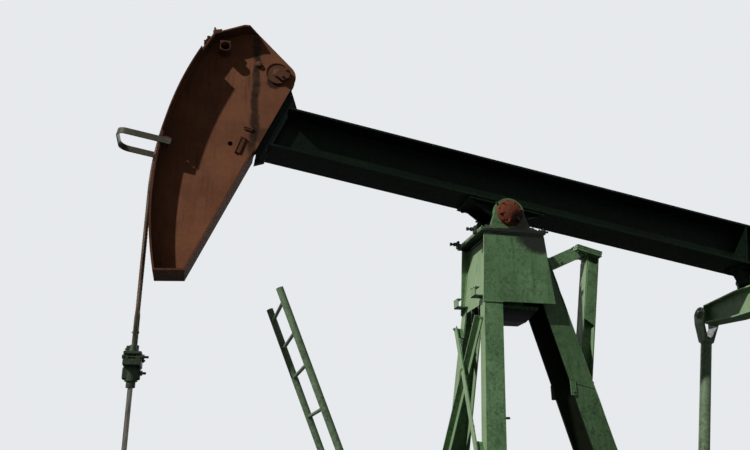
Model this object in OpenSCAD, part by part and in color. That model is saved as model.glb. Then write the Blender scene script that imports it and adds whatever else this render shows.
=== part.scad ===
// Beam pumping unit on its skid, stopped a little above mid-stroke.
// Millimetres, Z up. The origin is on the ground below the saddle bearing,
// +X points to the tail of the beam and the polished rod hangs at -X.

/* [Beam and stroke] */
// Height of the saddle bearing above the ground
pivot_z = 3500; // [3450:10:3600]
// Angle of the beam at rest, head end up
beam_tilt = 9.69; // [9:0.1:10.5]
// Depth of the walking beam
beam_depth = 335; // [310:5:345]
// Width of the walking beam's flanges
beam_w = 306; // [290:2:310]
// Thickness of the beam's flanges
beam_flange = 16; // [12:1:22]
// Thickness of the beam's web
beam_web = 10; // [8:1:14]
// Height of the beam's underside above the saddle shaft
beam_lift = 95; // [90:1:110]
// Gap between the head pin and the beam's head end, along the beam
head_gap = 55; // [45:1:75]
// Reach of the beam from the saddle shaft to its tail end
beam_tail = 2400; // [2370:10:2600]
// Slope of the head end of the beam from square
head_cut = 14.5; // [12:0.5:16]

/* [Horsehead] */
// Radius of the rope face about the saddle shaft
arc_r = 2550; // [2530:5:2580]
// Lower end of the rope face, as an angle below the beam
arc_low = 22.3; // [21.5:0.1:22.8]
// Upper end of the rope face, as an angle above the beam
arc_high = 20.3; // [20:0.1:20.8]
// Width of the rope face and of the rim plates
rim_w = 280; // [260:5:300]
// Thickness of the rope face plate
arc_t = 14; // [10:1:18]
// Thickness of the other rim plates
rim_t = 12; // [8:1:16]
// Clear space between the two side plates
side_gap = 58; // [50:2:80]
// Thickness of each side plate
side_t = 12; // [8:1:14]
// Depth of the horsehead from its rope face back to the head pin
head_depth = 674; // [660:1:690]
// Height of the head pin above the saddle shaft, square to the beam
head_pin_w = 741; // [728:1:753]
// Radius of the head pin
head_pin_r = 36; // [28:1:42]
// Radius of the rounded nose of the side plates behind the head pin
nose_r = 114; // [110:1:118]

/* [Bridle and polished rod] */
// Radius of the bridle rope
rope_r = 12; // [10:0.5:14]
// Distance between the two legs of the bridle
rope_gap = 100; // [90:2:110]
// Height of the carrier bar's underside
carrier_z = 2340; // [2300:10:2380]
// Radius of the polished rod
rod_r = 16; // [14:1:20]
// Radius of the rod's lower end, which the rod string's coupling takes
rod_end_r = 13; // [11:0.5:14]
// Length of that lower end
rod_end = 60; // [50:5:80]
// Height of the lower end of the polished rod
rod_bottom = 1100; // [1080:10:1200]
// Height of the upper end of the polished rod
rod_top = 2700; // [2650:10:2750]

/* [Tail and linkage] */
// Distance of the tail bearing from the tail end of the beam
tail_inset = 230; // [200:5:250]
// Height of the tail bearing above the saddle shaft, square to the beam
tail_w = 20; // [15:1:25]
// Lean of the pitmans toward the post
pitman_lean = 11.9; // [11:0.1:12.5]
// Distance from the tail bearing to the crank pins
pitman_len = 2050; // [2030:5:2060]
// Distance from the middle of the unit to each pitman
pitman_y = 520; // [515:1:540]
// Radius of the pitman pipe
pitman_r = 44; // [38:1:50]
// Distance of the crankshaft from the saddle bearing
crank_x = 2219; // [2200:1:2240]
// Height of the crankshaft above the ground
crank_z = 1400; // [1380:5:1420]
// Outer reach of each crank
crank_reach = 980; // [940:10:1000]
// Radius of the crankshaft
crankshaft_r = 60; // [50:1:70]

/* [Samson post] */
// Height of the top of the post's head box
box_top = 3335; // [3325:1:3345]
// Height of the lower edge of the post's head box
box_bottom = 2820; // [2780:5:2860]
// Distance between the outer faces of the head box's side plates
box_w = 468; // [450:2:480]
// Width of the front legs along the unit
leg_w = 135; // [110:5:150]
// Depth of the front legs' flanges
leg_depth = 85; // [70:5:95]
// Forward lean of the front legs, as a share of their height
leg_lean = 0.1127; // [0.1:0.005:0.13]
// Outward splay of the front legs, as a share of their height
leg_splay = 0.1515; // [0.14:0.0025:0.16]
// Lean of the rear leg, as a share of its height
rear_lean = 0.283; // [0.27:0.005:0.29]
// Width of the rear leg across the unit
rear_w = 300; // [270:5:320]
// Depth of the rear leg along the unit
rear_d = 160; // [140:5:170]

/* [Skid and drive] */
// Distance from the middle of the unit to each skid beam
skid_y = 580; // [570:5:590]
// Height of the skid beams
skid_h = 240; // [230:5:250]
// Width of the skid beams' flanges
skid_flange_w = 150; // [140:5:160]
// Reach of the skid in front of the saddle bearing
skid_front = 1250; // [1230:10:1300]
// Reach of the skid behind the saddle bearing
skid_back = 4450; // [4400:10:4600]
// Radius of the foundation bolt holes
bolt_hole_r = 14; // [10:1:18]

/* [Hidden] */
$fn = 96;

dark_green = [0.10, 0.17, 0.10];
green = [0.35, 0.50, 0.33];
rust = [0.45, 0.27, 0.18];
red_rust = [0.42, 0.18, 0.12];
steel = [0.30, 0.28, 0.26];

// Running clearance of a shaft in its bore
running = 0.06;
// Clearance between a rope and the plate that it lies on
rope_clear = 0.3;

// Beam levels, measured square to the beam from the saddle shaft
beam_top = beam_lift + beam_depth;
head_pin_u = arc_r - head_depth;
beam_head = head_pin_u - head_gap;
tail_u = beam_tail - tail_inset;
head_slope = tan(head_cut);

// Corners of the horsehead in the beam's own frame
function on_arc(a, r = arc_r) = [-r * cos(a), r * sin(a)];
head_low_front = on_arc(-arc_low);
head_pin_at = [-head_pin_u, head_pin_w];
head_nose_at = head_pin_at + [27, -11];
head_low_rear = [-head_pin_u - 287, -925];
head_top_front = on_arc(arc_high);
head_brow = head_pin_at + [-318, 280];
head_corner = head_pin_at + [-218, 304];

// The point where a line from p touches the circle of radius r about c
function touch(p, c, r, side) =
    let (a = atan2(p.y - c.y, p.x - c.x) + side * acos(r / norm(p - c)))
    c + r * [cos(a), sin(a)];
head_nose_top = touch(head_corner, head_nose_at, nose_r, -1);
head_nose_rear = touch(head_low_rear, head_nose_at, nose_r, 1);
rear_plate_top = 60;
head_rear_top = head_low_rear + (head_nose_rear - head_low_rear)
    * (rear_plate_top - head_low_rear.y) / (head_nose_rear.y - head_low_rear.y);
side_in = side_gap / 2;
side_out = side_in + side_t;

// Tail bearing and crank pin, in the unit's frame
function turned(u, w) = [
    u * cos(beam_tilt) + w * sin(beam_tilt),
    pivot_z - u * sin(beam_tilt) + w * cos(beam_tilt)
];
tail_at = turned(tail_u, tail_w);
crank_pin_at = tail_at - pitman_len * [sin(pitman_lean), cos(pitman_lean)];
crank_arm = crank_pin_at - [crank_x, crank_z];
crank_angle = atan2(crank_arm.y, crank_arm.x);
crank_r = norm(crank_arm);
crank_in = 352;
crank_out = 438;
crank_half = 100;
crank_pin_r = 40;
crank_pin_clear = 8;

rope_path_r = arc_r + rope_r;
skid_web = 10;
skid_flange = 12;
bolt_inset = 150;
bolt_y = skid_y + 40;

// Post sizes that the skid also needs
plate_t = 25;
plate_z = box_top + plate_t;
rear_top = box_top - 135;
rear_top_x = 212;
function rear_x(z) = rear_top_x + rear_lean * (rear_top - z);

// Sling hole through both side plates of the horsehead
sling_hole_r = 18;

// Turns the beam's frame (x along the beam, z square to it) into place
module on_beam()
    translate([0, 0, pivot_z])
        rotate([0, beam_tilt, 0])
            children();

// Extrudes an outline drawn in x and z from y0 to y1
module slab(y0, y1)
    translate([0, y1, 0])
        rotate([90, 0, 0])
            linear_extrude(y1 - y0)
                children();

// A pair of slabs on both sides of the middle, from y0 out to y1
module slab_pair(y0, y1) {
    slab(y0, y1) children();
    slab(-y1, -y0) children();
}

// A round bar along y at the x and z of p
module cross_pin(p, r, y0, y1)
    translate([p.x, y1, p.y])
        rotate([90, 0, 0])
            cylinder(r = r, h = y1 - y0);

// An I outline with its depth along the second axis, centred on the web
module i_outline(depth, width, flange, web) {
    translate([-width / 2, 0])
        square([width, flange]);
    translate([-width / 2, depth - flange])
        square([width, flange]);
    translate([-web / 2, 0])
        square([web, depth]);
}

// Extrudes an outline drawn in y and z along x
module along_x(x0, x1)
    translate([x0, 0, 0])
        rotate([90, 0, 90])
            linear_extrude(x1 - x0)
                children();

// The strip of thickness t on the left of the way from p to q
module strip(p, q, t) {
    way = (q - p) / norm(q - p);
    side = [-way.y, way.x] * t;
    polygon([p, q, q + side, p + side]);
}

// Turns the z axis along the vector v while the x axis keeps to its plane
module aim(v)
    rotate([-asin(v.y / norm(v)), atan2(v.x, v.z), 0])
        children();

// Skid
module skid_beam(side)
    color(green)
        difference() {
            translate([0, side * skid_y, 0])
                along_x(-skid_front, skid_back)
                    i_outline(skid_h, skid_flange_w, skid_flange, skid_web);
            for (x = [-skid_front + bolt_inset, skid_back - bolt_inset])
                translate([x, side * bolt_y, -1])
                    cylinder(r = bolt_hole_r, h = skid_flange + 2);
        }

module skid_beam_near() skid_beam(-1);
module skid_beam_far() skid_beam(1);

cross_h = 200;
cross_w = 100;
cross_z = (skid_h - cross_h) / 2;
cross_top = cross_z + cross_h;
cross_half = skid_y - skid_web / 2;
sole_w = 300;
front_cross = -skid_front + 100;
rear_foot_x = rear_x(cross_top);
stand_front = 300;
stand_back = 860;
motor_reach = 1560;
stand_x0 = crank_x - stand_front;
stand_x1 = crank_x + stand_back;
motor_x = crank_x + motor_reach;
cross_at = [
    front_cross, front_cross / 2, 0, rear_foot_x / 2, rear_foot_x,
    (rear_foot_x + stand_x0) / 2, stand_x0 + cross_w / 2,
    (stand_x0 + stand_x1) / 2, stand_x1 - cross_w / 2,
    motor_x - 200, motor_x + 200, skid_back - 100
];

module skid_cross_members()
    color(green) {
        for (x = cross_at)
            translate([x, cross_half, cross_z])
                rotate([90, 0, 0])
                    linear_extrude(2 * cross_half)
                        i_outline(cross_h, cross_w, 10, 8);
        translate([-sole_w / 2, -cross_half + skid_flange_w / 2, 0])
            cube([sole_w, 2 * cross_half - skid_flange_w, cross_z]);
    }

// Front legs: channels with the web outward, foot plate on the skid beam
leg_t = 10;
leg_top_y = box_w / 2 - 2;
leg_top_x = -253;
foot_t = 20;
leg_bottom = skid_h + foot_t;
leg_way = [leg_lean, leg_splay, 1];

module leg_channel() {
    linear_extrude(pivot_z)
            difference() {
                square([leg_w, leg_depth]);
                translate([leg_t, leg_t])
                    square([leg_w - 2 * leg_t, leg_depth]);
            }
}

function leg_x(z) = leg_top_x - leg_lean * (box_bottom - z);
function leg_y(z) = leg_top_y + leg_splay * (box_bottom - z);

module front_leg() {
    low = leg_bottom;
    intersection() {
        translate([leg_x(low) - 50 * leg_lean, -leg_y(low) - 50 * leg_splay, low - 50])
            aim(leg_way)
                leg_channel();
        translate([-pivot_z / 2, -pivot_z / 2, low])
            cube([pivot_z, pivot_z, box_bottom - low]);
    }
    translate([leg_x(low) - 35, -leg_y(low) - 22, skid_h])
        cube([leg_w + 70, leg_depth + 45, foot_t]);
}

module front_leg_near()
    color(green)
        front_leg();

module front_leg_far()
    color(green)
        mirror([0, 1, 0])
            front_leg();

// X braces between the front legs: an angle on the legs' front faces with its
// free leg pointing forward, and a flat bar over it that stands on two clips
brace_w = 50;
brace_t = 8;
brace_clip = 90;
brace_inset = 40;
brace_levels = [leg_bottom + 90, 1000, 1760, box_bottom - 70];
lean_angle = atan(leg_lean);

function brace_len(z0, y0, z1, y1) = norm([y1 - y0, (z1 - z0) / cos(lean_angle)]);

module on_brace(z0, y0, z1, y1, lift)
    translate([leg_x(z0) - lift, y0, z0])
        rotate([0, lean_angle, 0])
            rotate([atan2(y0 - y1, (z1 - z0) / cos(lean_angle)), 0, 0])
                children();

module brace_flat(length)
    translate([-brace_t, -brace_w / 2, 0])
        cube([brace_t, brace_w, length]);

module front_bracing()
    color(green)
        for (i = [0:len(brace_levels) - 2]) {
            z0 = brace_levels[i] + brace_inset;
            z1 = brace_levels[i + 1] - brace_inset;
            y0 = leg_y(brace_levels[i]) - leg_depth / 2;
            y1 = leg_y(brace_levels[i + 1]) - leg_depth / 2;
            length = brace_len(z0, -y0, z1, y1);
            on_brace(z0, y0, z1, -y1, 0) {
                brace_flat(length);
                translate([-brace_w, brace_w / 2 - brace_t, 0])
                    cube([brace_w, brace_t, length]);
            }
            on_brace(z0, -y0, z1, y1, brace_w) {
                brace_flat(length);
                for (l = [0, length - brace_clip])
                    translate([-1, -brace_t / 2, l])
                        cube([brace_w * cos(lean_angle) + 1, brace_t, brace_clip]);
            }
        }

// Rear leg: one wide box leg that runs up inside the head box
rear_t = 12;
rear_foot_t = 20;

module rear_leg_outline()
    difference() {
        translate([-rear_d / 2, -rear_w / 2])
            square([rear_d, rear_w]);
        translate([-rear_d / 2 - 1, -rear_w / 2 + rear_t])
            square([rear_d - rear_t + 1, rear_w - 2 * rear_t]);
    }

rear_low = cross_top + rear_foot_t;

module rear_leg_body(grow = 0) {
    translate([rear_x(rear_low - 60), 0, rear_low - 60])
        aim([-rear_lean, 0, 1])
            linear_extrude(pivot_z)
                children();
}

module rear_leg()
    color(green) {
        intersection() {
            rear_leg_body()
                rear_leg_outline();
            translate([-pivot_z, -pivot_z, rear_low])
                cube([2 * pivot_z, 2 * pivot_z, rear_top - rear_low]);
        }
        translate([rear_foot_x - rear_d / 2 - 40, -rear_w / 2 - 30, cross_top])
            cube([rear_d + 80, rear_w + 60, rear_foot_t]);
    }

// Head box of the post
box_t = 12;
box_in = box_w / 2 - box_t;
box_front_top = -225;
box_front_low = -262;
box_rear_top = 238;
box_rear_low = 283;
front_set_top = 62;
front_set_low = 20;
tie_half = 75;
tie_drop = 105;
tie_t = 8;
tie_front = box_front_low + front_set_low + 2;
tie_rear = 225;

module post_head_box()
    color(green) {
        slab_pair(box_in, box_w / 2)
            polygon([
                [box_front_top, box_top], [box_rear_top, box_top],
                [box_rear_low, box_bottom], [box_front_low, box_bottom]
            ]);
        slab(-box_in, box_in)
            polygon([
                [box_front_top + front_set_top, box_top],
                [box_front_top + front_set_top + box_t, box_top],
                [box_front_low + front_set_low + box_t, box_bottom],
                [box_front_low + front_set_low, box_bottom]
            ]);
        slab(-box_in, box_in)
            polygon([
                [box_front_top + front_set_top + box_t + 2, rear_top],
                [box_rear_top - 4, rear_top],
                [box_rear_top - 6, rear_top + box_t],
                [box_front_top + front_set_top + box_t + 2, rear_top + box_t]
            ]);
        slab_pair(box_in - leg_depth + 10, box_in)
            polygon([
                [leg_top_x + 26, box_bottom], [leg_top_x + leg_w, box_bottom],
                [leg_top_x + leg_w, box_bottom + box_t],
                [leg_top_x + 28, box_bottom + box_t]
            ]);
        slab(-tie_half, tie_half)
            polygon([
                [tie_front, box_bottom - tie_drop], [tie_rear - tie_drop, box_bottom - tie_drop],
                [tie_rear, box_bottom - tie_t], [tie_rear, box_bottom],
                [tie_rear - tie_drop, box_bottom - tie_drop + tie_t],
                [tie_front, box_bottom - tie_drop + tie_t]
            ]);
        slab_pair(tie_half - tie_t, tie_half)
            polygon([
                [tie_front, box_bottom - tie_drop], [tie_rear - tie_drop, box_bottom - tie_drop],
                [tie_rear, box_bottom - tie_t], [tie_rear, box_bottom + box_t],
                [tie_front, box_bottom + box_t]
            ]);
        translate([box_front_top - 30, -box_w / 2 - 16, box_top])
            cube([box_rear_top - box_front_top + 42, box_w + 32, plate_t]);
    }

// Saddle bearings on the top plate
bearing_y = beam_w / 2 + 7;
bearing_t = 40;
bearing_r = 118;
saddle_r = 45;
bearing_h = pivot_z - plate_z;

module saddle_bearings()
    color(green)
        slab_pair(bearing_y, bearing_y + bearing_t)
            difference() {
                union() {
                    translate([0, pivot_z])
                        circle(bearing_r);
                    polygon([
                        [-210, plate_z], [210, plate_z], [210, plate_z + 22],
                        [150, plate_z + 40], [105, pivot_z + 30],
                        [-105, pivot_z + 30], [-150, plate_z + 40],
                        [-210, plate_z + 22]
                    ]);
                }
                translate([0, pivot_z])
                    circle(saddle_r + running);
            }

cap_out = bearing_y + bearing_t;
cap_steps = [[100, 24], [82, 44], [48, 58]];

module bearing_caps()
    color(red_rust)
        for (step = cap_steps)
            slab_pair(cap_out, cap_out + step[1])
                translate([0, pivot_z])
                    circle(step[0]);

// Beam rest behind the pivot
rest_tilt = 14;
rest_at = [694, 3313];
rest_len = 210;
rest_w = 176;
rest_t = 45;
rest_post_d = 98;
rest_post_w = 96;
rest_post_lean = 0.18;
rest_post_shift = 50;
rest_post_drop = 1100;

// Longer than any piece of the post, for the tools that cut its ends
beyond = 4000;

module rest_frame()
    translate([rest_at.x, 0, rest_at.y])
        rotate([0, rest_tilt, 0])
            children();

module rest_cap()
    color(green)
        rest_frame()
            translate([-rest_len / 2, -rest_w / 2, -rest_t])
                cube([rest_len, rest_w, rest_t]);

// Sinks the post's own frame to the foot of its line through the cap
module rest_line()
    translate([
        rest_at.x + rest_post_shift - rest_post_lean * rest_post_drop, 0,
        rest_at.y - rest_post_drop
    ])
        aim([rest_post_lean, 0, 1])
            children();

module above_rest()
    rest_frame()
        translate([-beyond, -beyond, -rest_t])
            cube(2 * beyond);

module rest_post()
    color(green) {
        difference() {
            rest_line()
                linear_extrude(rest_post_drop + rest_len)
                    rotate([0, 0, 90])
                        translate([0, -rest_post_d / 2])
                            i_outline(rest_post_d, rest_post_w, 10, 8);
            above_rest();
            rear_leg_body()
                translate([-beyond + rear_d / 2, -beyond])
                    square([beyond, 2 * beyond]);
        }
        difference() {
            slab(-50, 50)
                strip([202, 3048], rest_at + [46, -13], 90);
            slab(-60, 60)
                polygon([
                    [-beyond, 0], [rear_edge(0), 0],
                    [rear_edge(beyond), beyond], [-beyond, beyond]
                ]);
            rest_line()
                translate([-rest_post_d / 2, -beyond, 0])
                    cube(2 * beyond);
            above_rest();
        }
    }

// Place of the rear face of the rear leg at height z
function rear_edge(z) = rear_x(z) + rear_d / 2 * sqrt(1 + rear_lean * rear_lean);

// Access ladder in front of the post, on a channel across the skid
ladder_w = 614;
ladder_pipe_r = 24;
rung_r = 12;
ladder_top = [-1685, 0, 2820];
ladder_lean = 0.398;
top_rungs = [84, 297, 514];
rung_low_from = 803;
rung_step = 301;
ladder_foot_w = 120;
ladder_foot_h = 45;
ladder_foot_t = 8;
ladder_foot_half = skid_y + 45;
ladder_foot_z = skid_h + ladder_foot_h;
ladder_low = ladder_top - [-ladder_lean, 0, 1] * (ladder_top.z - ladder_foot_z);
ladder_len = norm(ladder_top - ladder_low);
low_rungs = [for (d = [rung_low_from:rung_step:ladder_len - rung_step / 3]) d];

module on_ladder()
    translate(ladder_low)
        aim([-ladder_lean, 0, 1])
            children();

module ladder_rails()
    color(green)
        difference() {
            on_ladder()
                for (s = [-1, 1])
                    translate([0, s * ladder_w / 2, -ladder_pipe_r * 2])
                        cylinder(r = ladder_pipe_r, h = ladder_len + ladder_pipe_r * 2);
            translate([ladder_low.x - ladder_w, -ladder_w, ladder_foot_z - ladder_w])
                cube([ladder_w * 2, ladder_w * 2, ladder_w]);
        }

module ladder_rungs()
    color(green)
        on_ladder()
            for (d = concat(top_rungs, low_rungs))
                translate([0, ladder_w / 2 - ladder_pipe_r, ladder_len - d])
                    rotate([90, 0, 0])
                        cylinder(r = rung_r, h = ladder_w - 2 * ladder_pipe_r);

module ladder_foot()
    color(green)
        slab(-ladder_foot_half, ladder_foot_half)
            translate([ladder_low.x - ladder_foot_w / 2, skid_h])
                difference() {
                    square([ladder_foot_w, ladder_foot_h]);
                    translate([ladder_foot_t, -ladder_foot_t])
                        square([ladder_foot_w - 2 * ladder_foot_t, ladder_foot_h]);
                }

// Gearbox on its stand
gear_drop = 270;
gear_base = crank_z - gear_drop;
gear_y = 215;
stand_y = 225;
post_w = 140;
stand_top_t = 25;

module gearbox_stand()
    color(green) {
        translate([stand_x0, -stand_y, gear_base - stand_top_t])
            cube([stand_x1 - stand_x0, 2 * stand_y, stand_top_t]);
        for (x = [stand_x0, (stand_x0 + stand_x1 - post_w) / 2, stand_x1 - post_w])
            for (y = [-stand_y, stand_y - post_w])
                translate([x, y, cross_top])
                    cube([post_w, post_w, gear_base - stand_top_t - cross_top]);
        for (x = [stand_x0, stand_x1 - 12])
            translate([x, -stand_y + post_w, cross_top + 200])
                cube([12, 2 * stand_y - 2 * post_w, 450]);
    }

shaft_gap = 700;
shaft_in_x = crank_x + shaft_gap;

module gearbox_outline() {
    translate([crank_x, crank_z])
        circle(265);
    translate([shaft_in_x, crank_z])
        circle(170);
    polygon([
        [crank_x - 265, gear_base], [shaft_in_x + 170, gear_base],
        [shaft_in_x + 170, crank_z], [shaft_in_x + 20, crank_z + 169],
        [crank_x + 40, crank_z + 262], [crank_x - 265, crank_z]
    ]);
}

module gearbox()
    color(green) {
        difference() {
            union() {
                slab(-gear_y + 25, gear_y - 25)
                    gearbox_outline();
                slab(-gear_y + 5, gear_y - 5)
                    polygon([
                        [crank_x - 285, crank_z - 15], [shaft_in_x + 195, crank_z - 15],
                        [shaft_in_x + 195, crank_z + 15], [crank_x - 285, crank_z + 15]
                    ]);
                slab(-gear_y, gear_y)
                    translate([crank_x, crank_z])
                        circle(130);
                slab(-gear_y, gear_y)
                    translate([shaft_in_x, crank_z])
                        circle(75);
                slab(-gear_y - 5, gear_y + 5)
                    polygon([
                        [crank_x - 290, gear_base], [shaft_in_x + 155, gear_base],
                        [shaft_in_x + 155, gear_base + 25], [crank_x - 290, gear_base + 25]
                    ]);
            }
            cross_pin([crank_x, crank_z], crankshaft_r + running, -gear_y - 10, gear_y + 10);
        }
        cross_pin([shaft_in_x, crank_z], 32, -gear_y - 20, -gear_y);
        cross_pin([shaft_in_x, crank_z], 32, gear_y, guard_y0);
    }

guard_y0 = 235;
guard_y1 = 335;
guard_r0 = 370;
guard_r1 = 140;
motor_z = 640;

module guard_outline() {
    p = [shaft_in_x, crank_z];
    q = [motor_x, motor_z];
    way = (q - p) / norm(q - p);
    swing = acos((guard_r0 - guard_r1) / norm(q - p));
    base = atan2(way.y, way.x);
    translate(p)
        circle(guard_r0);
    translate(q)
        circle(guard_r1);
    polygon([
        p + guard_r0 * [cos(base + swing), sin(base + swing)],
        q + guard_r1 * [cos(base + swing), sin(base + swing)],
        q + guard_r1 * [cos(base - swing), sin(base - swing)],
        p + guard_r0 * [cos(base - swing), sin(base - swing)]
    ]);
}

module belt_guard()
    color(green)
        slab(guard_y0, guard_y1)
            guard_outline();

// Brake drum on the other end of the input shaft, with its lever
drum_r = 170;

module brake()
    color(dark_green) {
        cross_pin([shaft_in_x, crank_z], drum_r, -gear_y - 110, -gear_y - 20);
        slab(-gear_y - 70, -gear_y - 40)
            strip([shaft_in_x + drum_r - 20, crank_z + 20], [skid_back - 200, 900], 40);
    }

motor_r = 150;
motor_base_top = motor_z - motor_r - 20;

module motor()
    color(green) {
        cross_pin([motor_x, motor_z], motor_r, -230, 180);
        cross_pin([motor_x, motor_z], motor_r - 30, -300, -230);
        cross_pin([motor_x, motor_z], 24, 180, guard_y0);
        translate([motor_x - 130, -170, motor_base_top])
            cube([260, 290, motor_z - motor_base_top - motor_r / 2]);
    }

module motor_base()
    color(green) {
        for (x = [motor_x - 240, motor_x + 140])
            translate([x, -260, cross_top])
                cube([100, 470, motor_base_top - cross_top - 15]);
        translate([motor_x - 260, -260, motor_base_top - 15])
            cube([520, 470, 15]);
    }

// Walking beam
beam_end_t = 12;
beam_end_half = 60;
stiff_t = 12;

module walking_beam()
    color(dark_green)
        on_beam() {
            intersection() {
                translate([0, 0, beam_lift])
                    along_x(-beam_head - 50, beam_tail)
                        i_outline(beam_depth, beam_w, beam_flange, beam_web);
                slab(-beam_w, beam_w)
                    polygon([
                        [-beam_head, beam_lift],
                        [-beam_head + head_slope * beam_depth, beam_top],
                        [beam_tail, beam_top], [beam_tail, beam_lift]
                    ]);
            }
            slab(-beam_end_half, beam_end_half)
                strip([-beam_head + head_slope * beam_depth, beam_top],
                    [-beam_head, beam_lift], beam_end_t);
            for (u = [tail_u - 130, tail_u + 118])
                translate([u, -beam_w / 2 + 4, beam_lift + beam_flange])
                    cube([stiff_t, beam_w - 8, beam_depth - 2 * beam_flange]);
        }

saddle_hub_r = 70;
saddle_base_t = 20;

module saddle_bracket()
    color(dark_green)
        on_beam()
            difference() {
                union() {
                    translate([-300, -beam_w / 2 + 8, beam_lift - saddle_base_t])
                        cube([600, beam_w - 16, saddle_base_t]);
                    slab(-beam_w / 2 + 8, beam_w / 2 - 8)
                        circle(saddle_hub_r);
                    slab_pair(85, 105)
                        polygon([
                            [-260, beam_lift - saddle_base_t], [-62, -30], [62, -30],
                            [260, beam_lift - saddle_base_t]
                        ]);
                }
                cross_pin([0, 0], saddle_r + running / 2, -beam_w, beam_w);
            }

module saddle_shaft()
    color(steel)
        on_beam()
            cross_pin([0, 0], saddle_r, -bearing_y - bearing_t + 1, bearing_y + bearing_t - 1);

// Hanger that carries the horsehead on its pin
hanger_half = 20;

module head_hanger()
    color(dark_green)
        on_beam()
            difference() {
                union() {
                    slab(-hanger_half, hanger_half)
                        difference() {
                            union() {
                                polygon([
                                    [-beam_head, beam_lift],
                                    [-beam_head + head_slope * beam_depth, beam_top],
                                    [-beam_head + head_slope * beam_depth + 88, beam_top],
                                    [-beam_head + head_slope * beam_depth + 50, beam_top + 90],
                                    head_pin_at + [96, -30], head_pin_at + [-96, 0],
                                    [-beam_head - 145, beam_lift + 50],
                                    head_rear_top + [-32, 14], head_rear_top + [12, 14],
                                    [-beam_head - 70, beam_lift - 116],
                                    [-beam_head, beam_lift - 76]
                                ]);
                                translate(head_pin_at)
                                    circle(98);
                            }
                        }
                    slab(-side_in, side_in)
                        translate(head_pin_at)
                            circle(70);
                }
                cross_pin(head_pin_at, head_pin_r + running / 2, -side_out, side_out);
            }

// Horsehead
module rope_face_outline()
    difference() {
        intersection() {
            circle(arc_r, $fn = 360);
            polygon([
                [0, 0], on_arc(-arc_low, arc_r * 1.2), [-arc_r * 1.3, 0],
                on_arc(arc_high, arc_r * 1.2)
            ]);
        }
        circle(arc_r - arc_t, $fn = 360);
    }

module bottom_plate_outline()
    difference() {
        strip(head_low_rear, head_low_front, -rim_t);
        rope_face_outline();
    }

module rear_plate_outline()
    difference() {
        strip(head_low_rear, head_rear_top, rim_t);
        bottom_plate_outline();
    }

module top_plate_outline()
    difference() {
        union() {
            strip(head_brow, head_top_front, rim_t);
            strip(head_corner, head_brow, rim_t);
        }
        rope_face_outline();
    }

module side_outline()
    difference() {
        union() {
            intersection() {
                circle(arc_r - arc_t, $fn = 360);
                polygon([
                    head_low_rear, head_low_front * 1.05 - head_low_rear * 0.05,
                    on_arc(-arc_low, arc_r * 1.02), [-arc_r * 1.08, 0],
                    on_arc(arc_high, arc_r * 1.02), head_top_front,
                    head_brow, head_corner, head_nose_top, head_nose_rear
                ]);
            }
            translate(head_nose_at)
                circle(nose_r);
        }
        bottom_plate_outline();
        rear_plate_outline();
        top_plate_outline();
        polygon([head_low_rear, on_arc(-arc_low, arc_r * 1.2), [-arc_r, -2000], [-1500, -2000]]);
        translate(head_pin_at)
            circle(head_pin_r + running / 2);
        translate([-head_pin_u - 210, 85])
            circle(sling_hole_r);
    }

module head_side_near()
    color(rust)
        on_beam()
            slab(-side_out, -side_in)
                side_outline();

module head_side_far()
    color(rust)
        on_beam()
            slab(side_in, side_out)
                side_outline();

module head_rope_face()
    color(rust)
        on_beam()
            slab(-rim_w / 2, rim_w / 2)
                rope_face_outline();

// Length of the corners cut off the rear end of the top plate
top_corner = 61;

module head_rim_plates()
    color(rust)
        on_beam() {
            slab(-rim_w / 2, rim_w / 2) {
                rear_plate_outline();
                bottom_plate_outline();
            }
            difference() {
                slab(-rim_w / 2, rim_w / 2)
                    top_plate_outline();
                for (s = [-1, 1])
                    translate([head_corner.x, 0, head_pin_w])
                        linear_extrude(2 * rim_w)
                            polygon([
                                [-top_corner, s * rim_w / 2], [0, s * side_out],
                                [rim_t, s * side_out], [rim_t, s * rim_w],
                                [-top_corner, s * rim_w]
                            ]);
            }
        }

pin_ring_r = 88;
pin_ring_t = 10;

module head_pin()
    color(rust)
        on_beam() {
            cross_pin(head_pin_at, head_pin_r, -side_out - pin_ring_t - 24, side_out + pin_ring_t + 24);
            for (s = [-1, 1])
                translate([0, s * (side_out + pin_ring_t / 2), 0])
                    cross_pin(head_pin_at, pin_ring_r, -pin_ring_t / 2, pin_ring_t / 2);
        }

// Rope guard: a flat bar bent around the two ropes
guard_w = 44;
guard_t = 8;
guard_arm_y = rim_w / 2;
guard_level = -58;
guard_reach = 289;
guard_corner = 66;
guard_grip = 80;

// The loop's outline in plan, drawn smaller by cut
module rope_guard_outline(cut) {
    front = -arc_r - guard_reach + cut;
    half = guard_arm_y + guard_t - cut;
    r = guard_corner - cut;
    translate([front + r, -half])
        square([guard_reach + guard_grip - guard_corner, 2 * half]);
    translate([front, r - half])
        square([2 * r, 2 * (half - r)]);
    for (s = [-1, 1])
        translate([front + r, s * (half - r)])
            circle(r);
}

module rope_guard()
    color(rust)
        on_beam()
            translate([0, 0, guard_level - guard_w / 2])
                linear_extrude(guard_w)
                    difference() {
                        rope_guard_outline(0);
                        rope_guard_outline(guard_t);
                        translate([-arc_r, -guard_arm_y])
                            square([2 * guard_grip, 2 * guard_arm_y]);
                    }

// Rope sockets at the top of the rope face
anchor_h = 60;
anchor_w = 50;
anchor_low = arc_high - 1.7;

module rope_anchor()
    color(rust)
        on_beam()
            slab_pair(rope_gap / 2 - anchor_w / 2, rope_gap / 2 + anchor_w / 2)
                difference() {
                    intersection() {
                        circle(arc_r + anchor_h, $fn = 360);
                        polygon([
                            [0, 0], on_arc(anchor_low, arc_r * 1.2), on_arc(arc_high, arc_r * 1.2)
                        ]);
                    }
                    circle(arc_r, $fn = 360);
                }

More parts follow.
